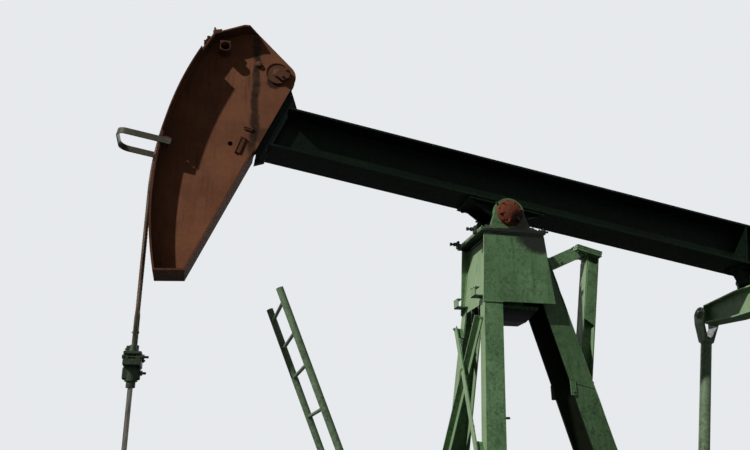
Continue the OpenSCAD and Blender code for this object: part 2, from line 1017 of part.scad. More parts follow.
// Wrapped part of the bridle, from the rest tangent point to the sockets
module bridle_wrap()
    color(steel)
        on_beam()
            for (s = [-1, 1])
                translate([0, s * rope_gap / 2, 0])
                    rotate([90, 0, 0])
                        rotate([0, 0, 180 - anchor_low])
                            rotate_extrude(angle = anchor_low + beam_tilt, $fn = 240)
                                translate([rope_path_r, 0])
                                    circle(rope_r - rope_clear, $fn = 24);

// Tail bearing under the beam
tail_bearing_r = 62;
tail_shaft_r = 35;
tail_half = 60;
tail_base_t = 20;

module tail_bearing()
    color(dark_green)
        on_beam()
            difference() {
                union() {
                    translate([tail_u - 150, -100, beam_lift - tail_base_t])
                        cube([300, 200, tail_base_t]);
                    slab(-tail_half, tail_half) {
                        translate([tail_u, tail_w])
                            circle(tail_bearing_r);
                        polygon([
                            [tail_u - 110, beam_lift - tail_base_t],
                            [tail_u - 58, tail_w - 20], [tail_u + 58, tail_w - 20],
                            [tail_u + 110, beam_lift - tail_base_t]
                        ]);
                    }
                }
                cross_pin([tail_u, tail_w], tail_shaft_r + running, -150, 150);
            }

// Equalizer: a tapered I beam that hangs from the tail bearing's shaft
eq_half = 494;
eq_w = 110;
eq_top_mid = 75;
eq_top_end = 108;
eq_low_mid = 300;
eq_low_end = 268;
eq_flange = 12;
cheek_in = 68;
cheek_out = 88;
fork_drop = 194;
eye_r = 46;
eye_half = 52;
fork_pin_r = 22;
fork_at = tail_at - fork_drop * [sin(pitman_lean), cos(pitman_lean)];

module eq_outline(cut)
    polygon([
        [-eq_half, -eq_top_end - cut], [-100, -eq_top_mid - cut],
        [100, -eq_top_mid - cut], [eq_half, -eq_top_end - cut],
        [eq_half, -eq_low_end + cut], [100, -eq_low_mid + cut],
        [-100, -eq_low_mid + cut], [-eq_half, -eq_low_end + cut]
    ]);

// Extrudes an outline drawn in y and z about the tail bearing, square to the pitmans
module at_tail(x0, x1)
    translate([tail_at.x, 0, tail_at.y])
        rotate([0, pitman_lean, 0])
            along_x(x0, x1)
                children();

module equalizer()
    color(green) {
        at_tail(-5, 5)
            eq_outline(0);
        at_tail(-eq_w / 2, eq_w / 2)
            difference() {
                eq_outline(0);
                eq_outline(eq_flange);
            }
        at_tail(-eq_w / 2, eq_w / 2)
            for (s = [-1, 1])
                translate([s * (eq_half - 6) - 6, -eq_low_end])
                    square([12, eq_low_end - eq_top_end]);
        difference() {
            slab_pair(cheek_in, cheek_out)
                translate([tail_at.x, tail_at.y]) {
                    circle(48);
                    polygon([[-45, -18], [45, -18], [52, -eq_top_mid - 4], [-52, -eq_top_mid - 4]]);
                }
            cross_pin(tail_at, tail_shaft_r, -200, 200);
        }
        cross_pin(tail_at, tail_shaft_r, -cheek_out - 20, cheek_out + 20);
        for (s = [-1, 1]) {
            translate([fork_at.x, s * pitman_y, fork_at.y])
                rotate([0, 90 + pitman_lean, 0])
                    difference() {
                        cylinder(r = eye_r, h = 2 * eye_half, center = true);
                        cylinder(r = fork_pin_r + running, h = 3 * eye_half, center = true);
                    }
            translate([fork_at.x, s * eq_half, fork_at.y])
                rotate([-90 * s, 0, 0])
                    difference() {
                        cylinder(r = 28, h = pitman_y - eq_half);
                        translate([0, 0, pitman_y - eq_half])
                            rotate([0, 90, pitman_lean * s])
                                cylinder(r = eye_r - 4, h = 100, center = true);
                    }
        }
    }

// Pitmans: a fork at the top, a pipe and the wrist pin bearing at the crank
fork_half = 74;
ear_t = 14;
ear_r = 70;
yoke_drop = 230;
wrist_r = 85;
wrist_half = 50;

module pitman_frame(side)
    translate([fork_at.x, side * pitman_y, fork_at.y])
        rotate([0, pitman_lean, 0])
            children();

wrist_drop = pitman_len - fork_drop;

// Yoke: two round ears that run together into the pipe
module yoke()
    intersection() {
        slab(-ear_r, ear_r)
            difference() {
                polygon([
                    [-fork_half, ear_r + 1], [-fork_half, -ear_r], [-pitman_r, -yoke_drop],
                    [pitman_r, -yoke_drop], [fork_half, -ear_r], [fork_half, ear_r + 1]
                ]);
                polygon([
                    [ear_t - fork_half, ear_r + 2], [ear_t - fork_half, -ear_r - 12],
                    [-18, -yoke_drop + 40], [18, -yoke_drop + 40],
                    [fork_half - ear_t, -ear_r - 12], [fork_half - ear_t, ear_r + 2]
                ]);
            }
        along_x(-fork_half, fork_half) {
            circle(ear_r);
            polygon([
                [-ear_r + 3, -20], [ear_r - 3, -20], [pitman_r - 4, -yoke_drop],
                [4 - pitman_r, -yoke_drop]
            ]);
        }
    }

module pitman(side)
    color(green)
        difference() {
            union() {
                pitman_frame(side) {
                    yoke();
                    translate([0, 0, -wrist_drop + wrist_r - 15])
                        cylinder(r = pitman_r, h = wrist_drop - wrist_r + 15 - yoke_drop + 20);
                    translate([0, wrist_half, -wrist_drop])
                        rotate([90, 0, 0])
                            cylinder(r = wrist_r, h = 2 * wrist_half);
                }
                pitman_frame(side)
                    translate([-fork_half - 18, 0, 0])
                        rotate([0, 90, 0])
                            cylinder(r = fork_pin_r, h = 2 * fork_half + 36);
                cross_pin(crank_pin_at, crank_pin_r,
                    side > 0 ? crank_out + crank_pin_clear : -pitman_y - wrist_half - 30,
                    side > 0 ? pitman_y + wrist_half + 30 : -crank_out - crank_pin_clear);
            }
        }

module pitman_near() pitman(-1);
module pitman_far() pitman(1);

// Crankshaft, cranks and counterweights
hub_r = 130;
hub_in = 345;
hub_out = 460;

module on_crank()
    translate([crank_x, 0, crank_z])
        rotate([0, -crank_angle, 0])
            children();

module crankshaft()
    color(steel)
        cross_pin([crank_x, crank_z], crankshaft_r, -hub_out - 10, hub_out + 10);

module crank(side) {
    y0 = side > 0 ? crank_in : -crank_out;
    h0 = side > 0 ? hub_in : -hub_out;
    color(green)
        on_crank()
            difference() {
                union() {
                    slab(y0, y0 + crank_out - crank_in)
                        polygon([
                            [-150, -crank_half], [crank_reach, -crank_half],
                            [crank_reach, crank_half], [-150, crank_half]
                        ]);
                    slab(h0, h0 + hub_out - hub_in)
                        circle(hub_r);
                }
                cross_pin([0, 0], crankshaft_r + running / 2, -600, 600);
            }
}

module crank_near() crank(-1);
module crank_far() crank(1);

weight_at = 600;
weight_r = 330;

module counterweights(side) {
    y0 = side > 0 ? crank_in - 7 : -crank_out - 2;
    color(green)
        on_crank()
            slab(y0, y0 + crank_out - crank_in + 9)
                for (s = [-1, 1])
                    difference() {
                        translate([weight_at, s * crank_half])
                            circle(weight_r);
                        translate([-200, s > 0 ? crank_half - 1000 : -crank_half])
                            square([2000, 1000]);
                    }
}

module counterweights_near() counterweights(-1);
module counterweights_far() counterweights(1);

// Hanging part of the bridle, the carrier bar and the polished rod
tangent_gap = 5;
carrier_h = 144;
carrier_sleeve = 131;
carrier_x = 55;
carrier_y = 90;

module bridle_rope()
    color(steel)
        for (s = [-1, 1])
            translate([-rope_path_r, s * rope_gap / 2, carrier_z + carrier_h])
                cylinder(r = rope_r - rope_clear, h = pivot_z - tangent_gap - carrier_z - carrier_h);

module carrier_bar()
    color(dark_green)
        difference() {
            union() {
                translate([-rope_path_r - carrier_x, -carrier_y, carrier_z])
                    cube([2 * carrier_x, 2 * carrier_y, 40]);
                translate([-rope_path_r - carrier_x, -carrier_y, carrier_z + 70])
                    cube([2 * carrier_x, 2 * carrier_y, 20]);
                for (s = [-1, 1])
                    translate([-rope_path_r, s * rope_gap / 2, carrier_z])
                        cylinder(r = 26, h = carrier_h);
                translate([-rope_path_r, 0, carrier_z - carrier_sleeve])
                    cylinder(r = 32, h = carrier_sleeve);
            }
            translate([-rope_path_r, 0, carrier_z - 200])
                cylinder(r = rod_r + running / 2, h = 600);
        }

module polished_rod()
    color(steel)
        translate([-rope_path_r, 0, rod_bottom]) {
            cylinder(r = rod_end_r, h = rod_end + 1);
            translate([0, 0, rod_end])
                cylinder(r = rod_r, h = rod_top - rod_bottom - rod_end);
        }

skid_beam_near();
skid_beam_far();
skid_cross_members();
front_leg_near();
front_leg_far();
front_bracing();
rear_leg();
post_head_box();
saddle_bearings();
bearing_caps();
rest_post();
rest_cap();
ladder_rails();
ladder_rungs();
ladder_foot();
gearbox_stand();
gearbox();
belt_guard();
brake();
motor();
motor_base();
walking_beam();
saddle_bracket();
saddle_shaft();
head_hanger();
head_side_near();
head_side_far();
head_rope_face();
head_rim_plates();
head_pin();
rope_guard();
rope_anchor();
bridle_wrap();
tail_bearing();
equalizer();
pitman_near();
pitman_far();
crankshaft();
crank_near();
crank_far();
counterweights_near();
counterweights_far();
bridle_rope();
carrier_bar();
polished_rod();
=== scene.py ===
# Beam pumping unit, stopped a little above mid-stroke, in weathered green
# paint with a rusted horsehead. Everything is in metres, in the unit's frame:
# the origin is on the ground below the saddle bearing and +X points to the
# tail of the beam.
import math
import random

import bmesh
import bpy
from mathutils import Matrix, Vector


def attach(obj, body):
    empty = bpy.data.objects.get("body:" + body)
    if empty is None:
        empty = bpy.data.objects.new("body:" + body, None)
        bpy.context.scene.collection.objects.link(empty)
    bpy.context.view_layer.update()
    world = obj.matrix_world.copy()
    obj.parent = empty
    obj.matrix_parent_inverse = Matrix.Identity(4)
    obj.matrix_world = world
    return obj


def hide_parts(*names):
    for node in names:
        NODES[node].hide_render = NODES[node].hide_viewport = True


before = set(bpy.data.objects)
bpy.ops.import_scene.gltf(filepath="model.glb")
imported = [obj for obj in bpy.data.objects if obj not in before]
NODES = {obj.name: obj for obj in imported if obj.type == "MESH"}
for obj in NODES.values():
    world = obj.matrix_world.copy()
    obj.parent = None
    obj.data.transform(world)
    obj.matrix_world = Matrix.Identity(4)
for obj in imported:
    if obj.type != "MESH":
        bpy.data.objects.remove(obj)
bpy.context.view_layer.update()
random.seed(7)

# Main sizes
PIVOT = 3.5
TILT = math.radians(9.69)
ARC_R = 2.55
ROPE_R = 0.012
ROPE_PATH = ARC_R + ROPE_R
ROPE_Y = 0.05
CRANK_AT = Vector((2.219, 0.0, 1.4))
CRANK_ANGLE = math.radians(-153.27)
PITMAN_LEAN = math.radians(11.9)
PITMAN_Y = 0.52
TAIL_AT = Vector((2.1424, 0.0, 3.1545))
HEAD_PIN = (-1.876, 0.741)
SHAFT_IN = Vector((2.919, 0.0, 1.4))
MOTOR_AT = Vector((3.779, 0.0, 0.64))
SKID_Y = 0.58

BEAM = Matrix.Translation((0, 0, PIVOT)) @ Matrix.Rotation(TILT, 4, "Y")
CRANK = Matrix.Translation(CRANK_AT) @ Matrix.Rotation(-CRANK_ANGLE, 4, "Y")
HERE = Matrix.Identity(4)


def srgb(r, g, b):
    """A colour as it looks, 0 to 255, turned into linear light."""
    out = []
    for c in (r, g, b):
        c = c / 255
        out.append(c / 12.92 if c <= 0.04045 else ((c + 0.055) / 1.055) ** 2.4)
    return (*out, 1.0)


def deeper(colour, share):
    """A darker tone of a colour."""
    return tuple(c * share for c in colour[:3]) + (1.0,)


# Camera and light

EYE = (-2.1698, -4.8831, 1.6023)
YAW, PITCH, ROLL = (math.radians(a) for a in (13.76, 19.75, -0.73))
PHOTO_WIDTH = 750
FOCAL_PIXELS = 733.39
SENSOR = 36.0


def aim_camera():
    """The photographer's place: low, in front of the well end, looking up."""
    yaw = YAW
    pitch = PITCH
    roll = ROLL
    ahead = Vector((math.sin(yaw) * math.cos(pitch), math.cos(yaw) * math.cos(pitch), math.sin(pitch)))
    level = Vector((math.cos(yaw), -math.sin(yaw), 0.0))
    up = level.cross(ahead)
    right = level * math.cos(roll) + up * math.sin(roll)
    top = up * math.cos(roll) - level * math.sin(roll)
    turn = Matrix((right, top, -ahead)).transposed().to_4x4()
    data = bpy.data.cameras.new("camera")
    data.sensor_width = SENSOR
    data.lens = FOCAL_PIXELS / PHOTO_WIDTH * SENSOR
    data.clip_end = 200.0
    camera = bpy.data.objects.new("camera", data)
    camera.matrix_world = Matrix.Translation(EYE) @ turn
    bpy.context.collection.objects.link(camera)
    bpy.context.scene.camera = camera


def add_sun(name, towards, strength, angle, colour):
    """A sun that shines from the side that towards points to."""
    data = bpy.data.lights.new(name, "SUN")
    data.energy = strength
    data.angle = math.radians(angle)
    data.color = colour
    lamp = bpy.data.objects.new(name, data)
    lamp.rotation_euler = Vector(towards).to_track_quat("Z", "Y").to_euler()
    bpy.context.collection.objects.link(lamp)


def light_scene():
    """The studio: world, suns and fill."""
    world = bpy.data.worlds.new("studio")
    world.use_nodes = True
    tree = world.node_tree
    tree.nodes.clear()
    out = tree.nodes.new("ShaderNodeOutputWorld")
    mix = tree.nodes.new("ShaderNodeMixShader")
    fill = tree.nodes.new("ShaderNodeBackground")
    fill.inputs["Color"].default_value = (0.93, 0.96, 1.0, 1.0)
    fill.inputs["Strength"].default_value = 0.055
    seen = tree.nodes.new("ShaderNodeBackground")
    seen.inputs["Color"].default_value = (0.80, 0.82, 0.84, 1.0)
    seen.inputs["Strength"].default_value = 1.0
    path = tree.nodes.new("ShaderNodeLightPath")
    either = tree.nodes.new("ShaderNodeMath")
    either.operation = "MAXIMUM"
    tree.links.new(path.outputs["Is Camera Ray"], either.inputs[0])
    tree.links.new(path.outputs["Is Glossy Ray"], either.inputs[1])
    tree.links.new(either.outputs[0], mix.inputs[0])
    tree.links.new(fill.outputs[0], mix.inputs[1])
    tree.links.new(seen.outputs[0], mix.inputs[2])
    tree.links.new(mix.outputs[0], out.inputs["Surface"])
    bpy.context.scene.world = world
    add_sun("key", (-0.67, -0.395, 0.63), 3.7, 1.2, (1.0, 0.975, 0.93))
    add_sun("back", (0.10, 0.86, 0.50), 1.6, 15.0, (0.95, 0.98, 1.0))


def add_floor():
    """A wide round floor at ground level."""
    mesh = bpy.data.meshes.new("floor")
    bm = bmesh.new()
    bmesh.ops.create_circle(bm, cap_ends=True, segments=96, radius=40.0)
    bm.to_mesh(mesh)
    bm.free()
    floor = bpy.data.objects.new("floor", mesh)
    bpy.context.collection.objects.link(floor)
    mat = bpy.data.materials.new("floor")
    mat.use_nodes = True
    tree = mat.node_tree
    bsdf = tree.nodes["Principled BSDF"]
    bsdf.inputs["Roughness"].default_value = 0.9
    path = tree.nodes.new("ShaderNodeLightPath")
    tone = tree.nodes.new("ShaderNodeMix")
    tone.data_type = "RGBA"
    tone.inputs[6].default_value = (0.06, 0.063, 0.06, 1.0)
    tone.inputs[7].default_value = (0.70, 0.71, 0.72, 1.0)
    tree.links.new(path.outputs["Is Camera Ray"], tone.inputs[0])
    tree.links.new(tone.outputs[2], bsdf.inputs["Base Color"])
    mesh.materials.append(mat)


# Materials

class Shader:
    """Builds one node material on the object's own coordinates."""

    def __init__(self, name):
        self.mat = bpy.data.materials.new(name)
        self.mat.use_nodes = True
        self.tree = self.mat.node_tree
        self.bsdf = self.tree.nodes["Principled BSDF"]
        self.coords = self.tree.nodes.new("ShaderNodeTexCoord").outputs["Object"]

    def link(self, a, b):
        """Join an output to an input."""
        self.tree.links.new(a, b)

    def stretched(self, scale):
        """The piece's own coordinates, scaled by axis."""
        node = self.tree.nodes.new("ShaderNodeMapping")
        node.inputs["Scale"].default_value = scale
        self.link(self.coords, node.inputs["Vector"])
        return node.outputs["Vector"]

    def noise(self, scale, detail=4.0, rough=0.55, where=None):
        """A cloud value between 0 and 1."""
        node = self.tree.nodes.new("ShaderNodeTexNoise")
        node.inputs["Scale"].default_value = scale
        node.inputs["Detail"].default_value = detail
        node.inputs["Roughness"].default_value = rough
        self.link(where or self.coords, node.inputs["Vector"])
        return node.outputs["Fac"]

    def ramp(self, value, low, high, out_low=0.0, out_high=1.0):
        """A value from low to high, smoothly carried over to out_low to out_high."""
        node = self.tree.nodes.new("ShaderNodeMapRange")
        node.interpolation_type = "SMOOTHSTEP"
        node.inputs["From Min"].default_value = low
        node.inputs["From Max"].default_value = high
        node.inputs["To Min"].default_value = out_low
        node.inputs["To Max"].default_value = out_high
        self.link(value, node.inputs["Value"])
        return node.outputs["Result"]

    def math(self, kind, a, b=None):
        node = self.tree.nodes.new("ShaderNodeMath")
        node.operation = kind
        for i, value in enumerate((a, b)):
            if value is None:
                continue
            if isinstance(value, (int, float)):
                node.inputs[i].default_value = value
            else:
                self.link(value, node.inputs[i])
        return node.outputs[0]

    def mix(self, fac, a, b):
        """One tone laid over another by fac."""
        node = self.tree.nodes.new("ShaderNodeMix")
        node.data_type = "RGBA"
        for i, value in ((0, fac), (6, a), (7, b)):
            if isinstance(value, (int, float, tuple)):
                node.inputs[i].default_value = value
            else:
                self.link(value, node.inputs[i])
        return node.outputs[2]

    def axes(self):
        """The piece's own x, y and z."""
        node = self.tree.nodes.new("ShaderNodeSeparateXYZ")
        self.link(self.coords, node.inputs[0])
        return node.outputs

    def facing_head(self):
        """How far a face looks to the head end, in the piece's own axes."""
        node = self.tree.nodes.new("ShaderNodeSeparateXYZ")
        self.link(self.tree.nodes.new("ShaderNodeTexCoord").outputs["Normal"], node.inputs[0])
        return self.math("MULTIPLY", node.outputs["X"], -1.0)

    def bump(self, height, strength, distance, under=None):
        """Small relief, laid on top of any relief that is under it."""
        node = self.tree.nodes.new("ShaderNodeBump")
        node.inputs["Strength"].default_value = strength
        node.inputs["Distance"].default_value = distance
        self.link(height, node.inputs["Height"])
        if under is not None:
            self.link(under, node.inputs["Normal"])
        return node.outputs["Normal"]

    def dark_patches(self, colour, blobs, darkening):
        """Dark patches: each blob is (x, z, half width, half height, strength)."""
        x, y, z = self.axes()
        torn = self.math("MULTIPLY", self.math("SUBTRACT", self.noise(16.0, 6.0, 0.7), 0.5), 1.1)
        for at_x, at_z, half_x, half_z, strength in blobs:
            across = self.math("DIVIDE", self.math("SUBTRACT", x, at_x), half_x)
            along = self.math("DIVIDE", self.math("SUBTRACT", z, at_z), half_z)
            far = self.math("ADD", self.math("MULTIPLY", across, across),
                            self.math("MULTIPLY", along, along))
            mark = self.ramp(self.math("ADD", far, torn), 0.55, 1.15, strength, 0.0)
            colour = self.mix(mark, colour, darkening)
        return colour

    def finish(self, colour, roughness, normal=None, metallic=0.0, specular=0.5):
        self.bsdf.inputs["Specular IOR Level"].default_value = specular
        for name, value in (("Base Color", colour), ("Roughness", roughness), ("Metallic", metallic)):
            if isinstance(value, (int, float, tuple)):
                self.bsdf.inputs[name].default_value = value
            else:
                self.link(value, self.bsdf.inputs[name])
        if normal is not None:
            self.link(normal, self.bsdf.inputs["Normal"])
        return self.mat


RUST_DARK = srgb(58, 33, 22)
RUST_LIGHT = srgb(118, 66, 40)
# near-black tone of the dark patches: in the green paints it is painted shade, and it also marks dark
# patches on the rusted plates
NEAR_BLACK = srgb(12, 13, 8)
# pale green for painted sunlight on faces that look to the head end
PAINTED_SUN_GREEN = srgb(136, 160, 124)


def green_paint(name, light, dark, rust=0.10, grime=0.5, gloss=0.48, blobs=(), inside_shade=None, head_face_light=0.0,
                shine=0.22):
    """Old brushed paint: pale and dark clouds, grime runs, rust spots and chips, and painted sunlight on
    faces that look to the head end.
    """
    s = Shader(name)
    cloud = s.ramp(s.noise(1.9, 5.0, 0.6), 0.35, 0.68)
    mottle = s.ramp(s.noise(34.0, 6.0, 0.7), 0.30, 0.72)
    paint = s.mix(cloud, light, dark)
    speckled = s.mix(s.math("MULTIPLY", mottle, 0.55), paint, dark)
    pits = s.ramp(s.noise(44.0, 7.0, 0.8), 0.47, 0.60)
    crowd = s.ramp(s.noise(3.2, 4.0, 0.6), 0.36, 0.62, 0.25, 0.80)
    speckled = s.mix(s.math("MULTIPLY", pits, crowd), speckled, deeper(dark, 0.30))
    flecks = s.ramp(s.noise(21.0, 4.0, 0.75, s.stretched((1.0, 1.0, 0.7))), 0.50, 0.64, 0.0, 0.40)
    speckled = s.mix(flecks, speckled, deeper(dark, 0.36))
    # painted sunlight: faces that look to the head end are lightened toward a pale green
    sun_share = s.ramp(s.facing_head(), 0.55, 0.95, 0.0, head_face_light)
    speckled = s.mix(sun_share, speckled, PAINTED_SUN_GREEN)
    runs = s.ramp(s.noise(3.0, 6.0, 0.62, s.stretched((9.0, 9.0, 0.8))), 0.50, 0.74)
    darkening = s.math("MULTIPLY", runs, grime)
    soot = deeper(dark, 0.32)
    dirty = s.mix(darkening, speckled, soot)
    patches = s.noise(4.3, 12.0, 0.72)
    spots = s.noise(46.0, 4.0, 0.6)
    rusty = s.math("MAXIMUM", s.ramp(patches, 0.70 - rust, 0.735 - rust),
                   s.ramp(spots, 0.715 - rust * 0.3, 0.74 - rust * 0.3))
    rust_colour = s.mix(s.ramp(s.noise(60.0, 5.0, 0.7), 0.35, 0.65), RUST_DARK, RUST_LIGHT)
    colour = s.dark_patches(s.mix(rusty, dirty, rust_colour), blobs, NEAR_BLACK)
    if inside_shade is not None:
        # painted shade: the open side of a leaning channel is darkened to near black within half_y and
        # ahead of its back
        half_y, back_x, lean = inside_shade
        x, y, z = s.axes()
        depth = s.math("ADD", x, s.math("MULTIPLY", z, lean))
        within = s.math("LESS_THAN", s.math("ABSOLUTE", y), half_y)
        ahead = s.math("LESS_THAN", depth, back_x)
        colour = s.mix(s.math("MULTIPLY", s.math("MULTIPLY", within, ahead), 0.93), colour, NEAR_BLACK)
    rough = s.math("ADD", s.math("MULTIPLY", rusty, 0.32),
                   s.math("ADD", gloss, s.math("MULTIPLY", mottle, 0.14)))
    skin = s.bump(s.noise(130.0, 3.0, 0.6), 0.10, 0.002)
    normal = s.bump(s.math("SUBTRACT", 1.0, rusty), 0.35, 0.0012, skin)
    return s.finish(colour, rough, normal, specular=shine)


def rusty_plate(name, light, dark, streak=None, blobs=()):
    """Rolled plate that has rusted all over, with pale and dark clouds."""
    s = Shader(name)
    cloud = s.ramp(s.noise(2.6, 7.0, 0.62), 0.34, 0.70)
    mottle = s.ramp(s.noise(26.0, 9.0, 0.75), 0.30, 0.74)
    grain = s.ramp(s.noise(150.0, 4.0, 0.7), 0.30, 0.75)
    colour = s.mix(cloud, light, dark)
    colour = s.mix(s.math("MULTIPLY", mottle, 0.42), colour, dark)
    colour = s.mix(s.math("MULTIPLY", grain, 0.30), colour, deeper(dark, 0.45))
    runs = s.ramp(s.noise(3.4, 6.0, 0.65, s.stretched((8.0, 8.0, 0.7))), 0.50, 0.76)
    colour = s.mix(s.math("MULTIPLY", runs, 0.55), colour, deeper(dark, 0.38))
    if streak is not None:
        x, y, z = s.axes()
        top, bottom, x_top, x_bottom, width = streak
        lean = (x_top - x_bottom) / (top - bottom)
        middle = s.math("ADD", s.math("MULTIPLY", s.math("SUBTRACT", z, bottom), lean), x_bottom)
        wander = s.math("MULTIPLY", s.math("SUBTRACT", s.noise(5.0, 3.0), 0.5), 0.10)
        off = s.math("ABSOLUTE", s.math("SUBTRACT", s.math("SUBTRACT", x, middle), wander))
        band = s.ramp(off, width * 0.35, width, 1.0, 0.0)
        below = s.ramp(z, bottom - 0.12, bottom + 0.20)
        above = s.ramp(z, top, top + 0.06, 1.0, 0.0)
        broken = s.ramp(s.noise(18.0, 6.0, 0.7), 0.25, 0.60, 0.55, 1.0)
        mark = s.math("MULTIPLY", s.math("MULTIPLY", band, below), s.math("MULTIPLY", above, broken))
        colour = s.mix(s.math("MULTIPLY", mark, 0.985), colour, srgb(32, 22, 12))
    colour = s.dark_patches(colour, blobs, NEAR_BLACK)
    rough = s.math("ADD", 0.66, s.math("MULTIPLY", grain, 0.2))
    skin = s.bump(s.noise(170.0, 4.0, 0.7), 0.22, 0.002)
    normal = s.bump(mottle, 0.16, 0.002, skin)
    return s.finish(colour, rough, normal, specular=0.12)


def bare_steel(name, light, dark, rough_low=0.32, rough_high=0.6, metallic=0.85):
    """Oily machined steel with smears and a little rust bloom."""
    s = Shader(name)
    smear = s.ramp(s.noise(9.0, 6.0, 0.65, s.stretched((2.0, 2.0, 0.5))), 0.35, 0.70)
    fine = s.noise(120.0, 3.0, 0.6)
    colour = s.mix(smear, light, dark)
    bloom = s.ramp(s.noise(30.0, 8.0, 0.7), 0.60, 0.70)
    colour = s.mix(s.math("MULTIPLY", bloom, 0.6), colour, RUST_DARK)
    rough = s.ramp(smear, 0.0, 1.0, rough_low, rough_high)
    return s.finish(colour, rough, s.bump(fine, 0.12, 0.001), metallic)


def rubber(name):
    """Dusty black lining."""
    s = Shader(name)
    dust = s.ramp(s.noise(14.0, 7.0, 0.7), 0.35, 0.75)
    colour = s.mix(dust, srgb(28, 29, 27), srgb(62, 62, 56))
    return s.finish(colour, s.ramp(dust, 0.0, 1.0, 0.7, 0.92),
                    s.bump(s.noise(90.0, 4.0, 0.7), 0.2, 0.002))


# GREEN and BOX_GREEN lighten the faces that look to the head end as painted sunlight
GREEN = green_paint("green_paint", srgb(108, 143, 102), srgb(82, 114, 77), rust=0.0, grime=0.45,
                    head_face_light=0.75)
# the box's blobs are painted shadow: the bearing cap's shadow on the upper rear of each side, a band
# along the top plate's edge and a band over the tray below the box
BOX_GREEN = green_paint("box_paint", srgb(111, 147, 105), srgb(84, 116, 79), rust=0.0, grime=0.45,
                        head_face_light=0.92,
                        blobs=((0.21, 3.325, 0.20, 0.15, 0.97), (0.03, 3.338, 0.32, 0.030, 0.98),
                               (-0.02, 2.760, 0.40, 0.060, 0.985)))
# the open front of the rear leg's channel is darkened as painted shade
REAR_GREEN = green_paint("rear_paint", srgb(78, 108, 72), srgb(58, 84, 54), rust=0.0, grime=0.5,
                         inside_shade=(0.1415, 1.186, 0.283))
# the bearing's blobs are painted shadow of the end cover, on the housing's rear half and along its foot
BEARING_GREEN = green_paint("bearing_paint", srgb(103, 134, 96), srgb(78, 106, 72), rust=0.0, grime=0.5,
                            blobs=((0.15, 3.430, 0.14, 0.12, 0.97), (0.09, 3.36, 0.20, 0.030, 0.96)))
PALE_GREEN = green_paint("pale_paint", srgb(116, 138, 108), srgb(92, 112, 86), rust=0.0, grime=0.30)
# painted shade: the beam, saddle bracket and tail bearing are written near black for the deep shadow
# along the beam, whose paint is probably close to the post's green
BEAM_SHADE_GREEN = green_paint("beam_shade_paint", srgb(20, 34, 24), srgb(9, 18, 11), rust=0.0, grime=0.35,
                         shine=0.06)
DARK_GREEN = green_paint("dark_paint", srgb(56, 72, 52), srgb(36, 48, 35), rust=0.08)
MACHINE_GREEN = green_paint("machine_paint", srgb(84, 111, 79), srgb(60, 83, 57), rust=0.05, grime=0.6)
# the blob darkens the rope guard's grip near its clip as painted shade
DULL_PAINT = green_paint("dull_paint", srgb(92, 94, 78), srgb(64, 62, 50), rust=0.10, grime=0.6,
                         blobs=((-2.46, 3.39, 0.12, 0.20, 0.93),))
# painted shade: the head hanger is written near black for the horsehead's shadow on it
HANGER_SHADE_PAINT = green_paint("hanger_shade_paint", srgb(11, 19, 14), srgb(5, 10, 7), rust=0.0, grime=0.35,
                           shine=0.05)
PLATE = rusty_plate("rusted_plate", srgb(138, 90, 64), srgb(104, 66, 47),
                    (4.82, 3.80, -1.880, -1.884, 0.040),
                    ((-1.80, 4.02, 0.10, 0.07, 0.45), (-1.745, 4.475, 0.06, 0.06, 0.8)))
EDGE_RUST = rusty_plate("rusted_edge", srgb(112, 72, 52), srgb(76, 48, 36))
RED_RUST = rusty_plate("rusted_cap", srgb(124, 66, 46), srgb(78, 38, 26),
                       blobs=((0.055, 3.455, 0.07, 0.06, 0.8),))
STEEL = bare_steel("bare_steel", srgb(120, 116, 108), srgb(66, 62, 56))
ROPE = bare_steel("rope_steel", srgb(104, 84, 66), srgb(48, 38, 30), 0.5, 0.75, 0.45)
RUBBER = rubber("rubber")


# Shapes

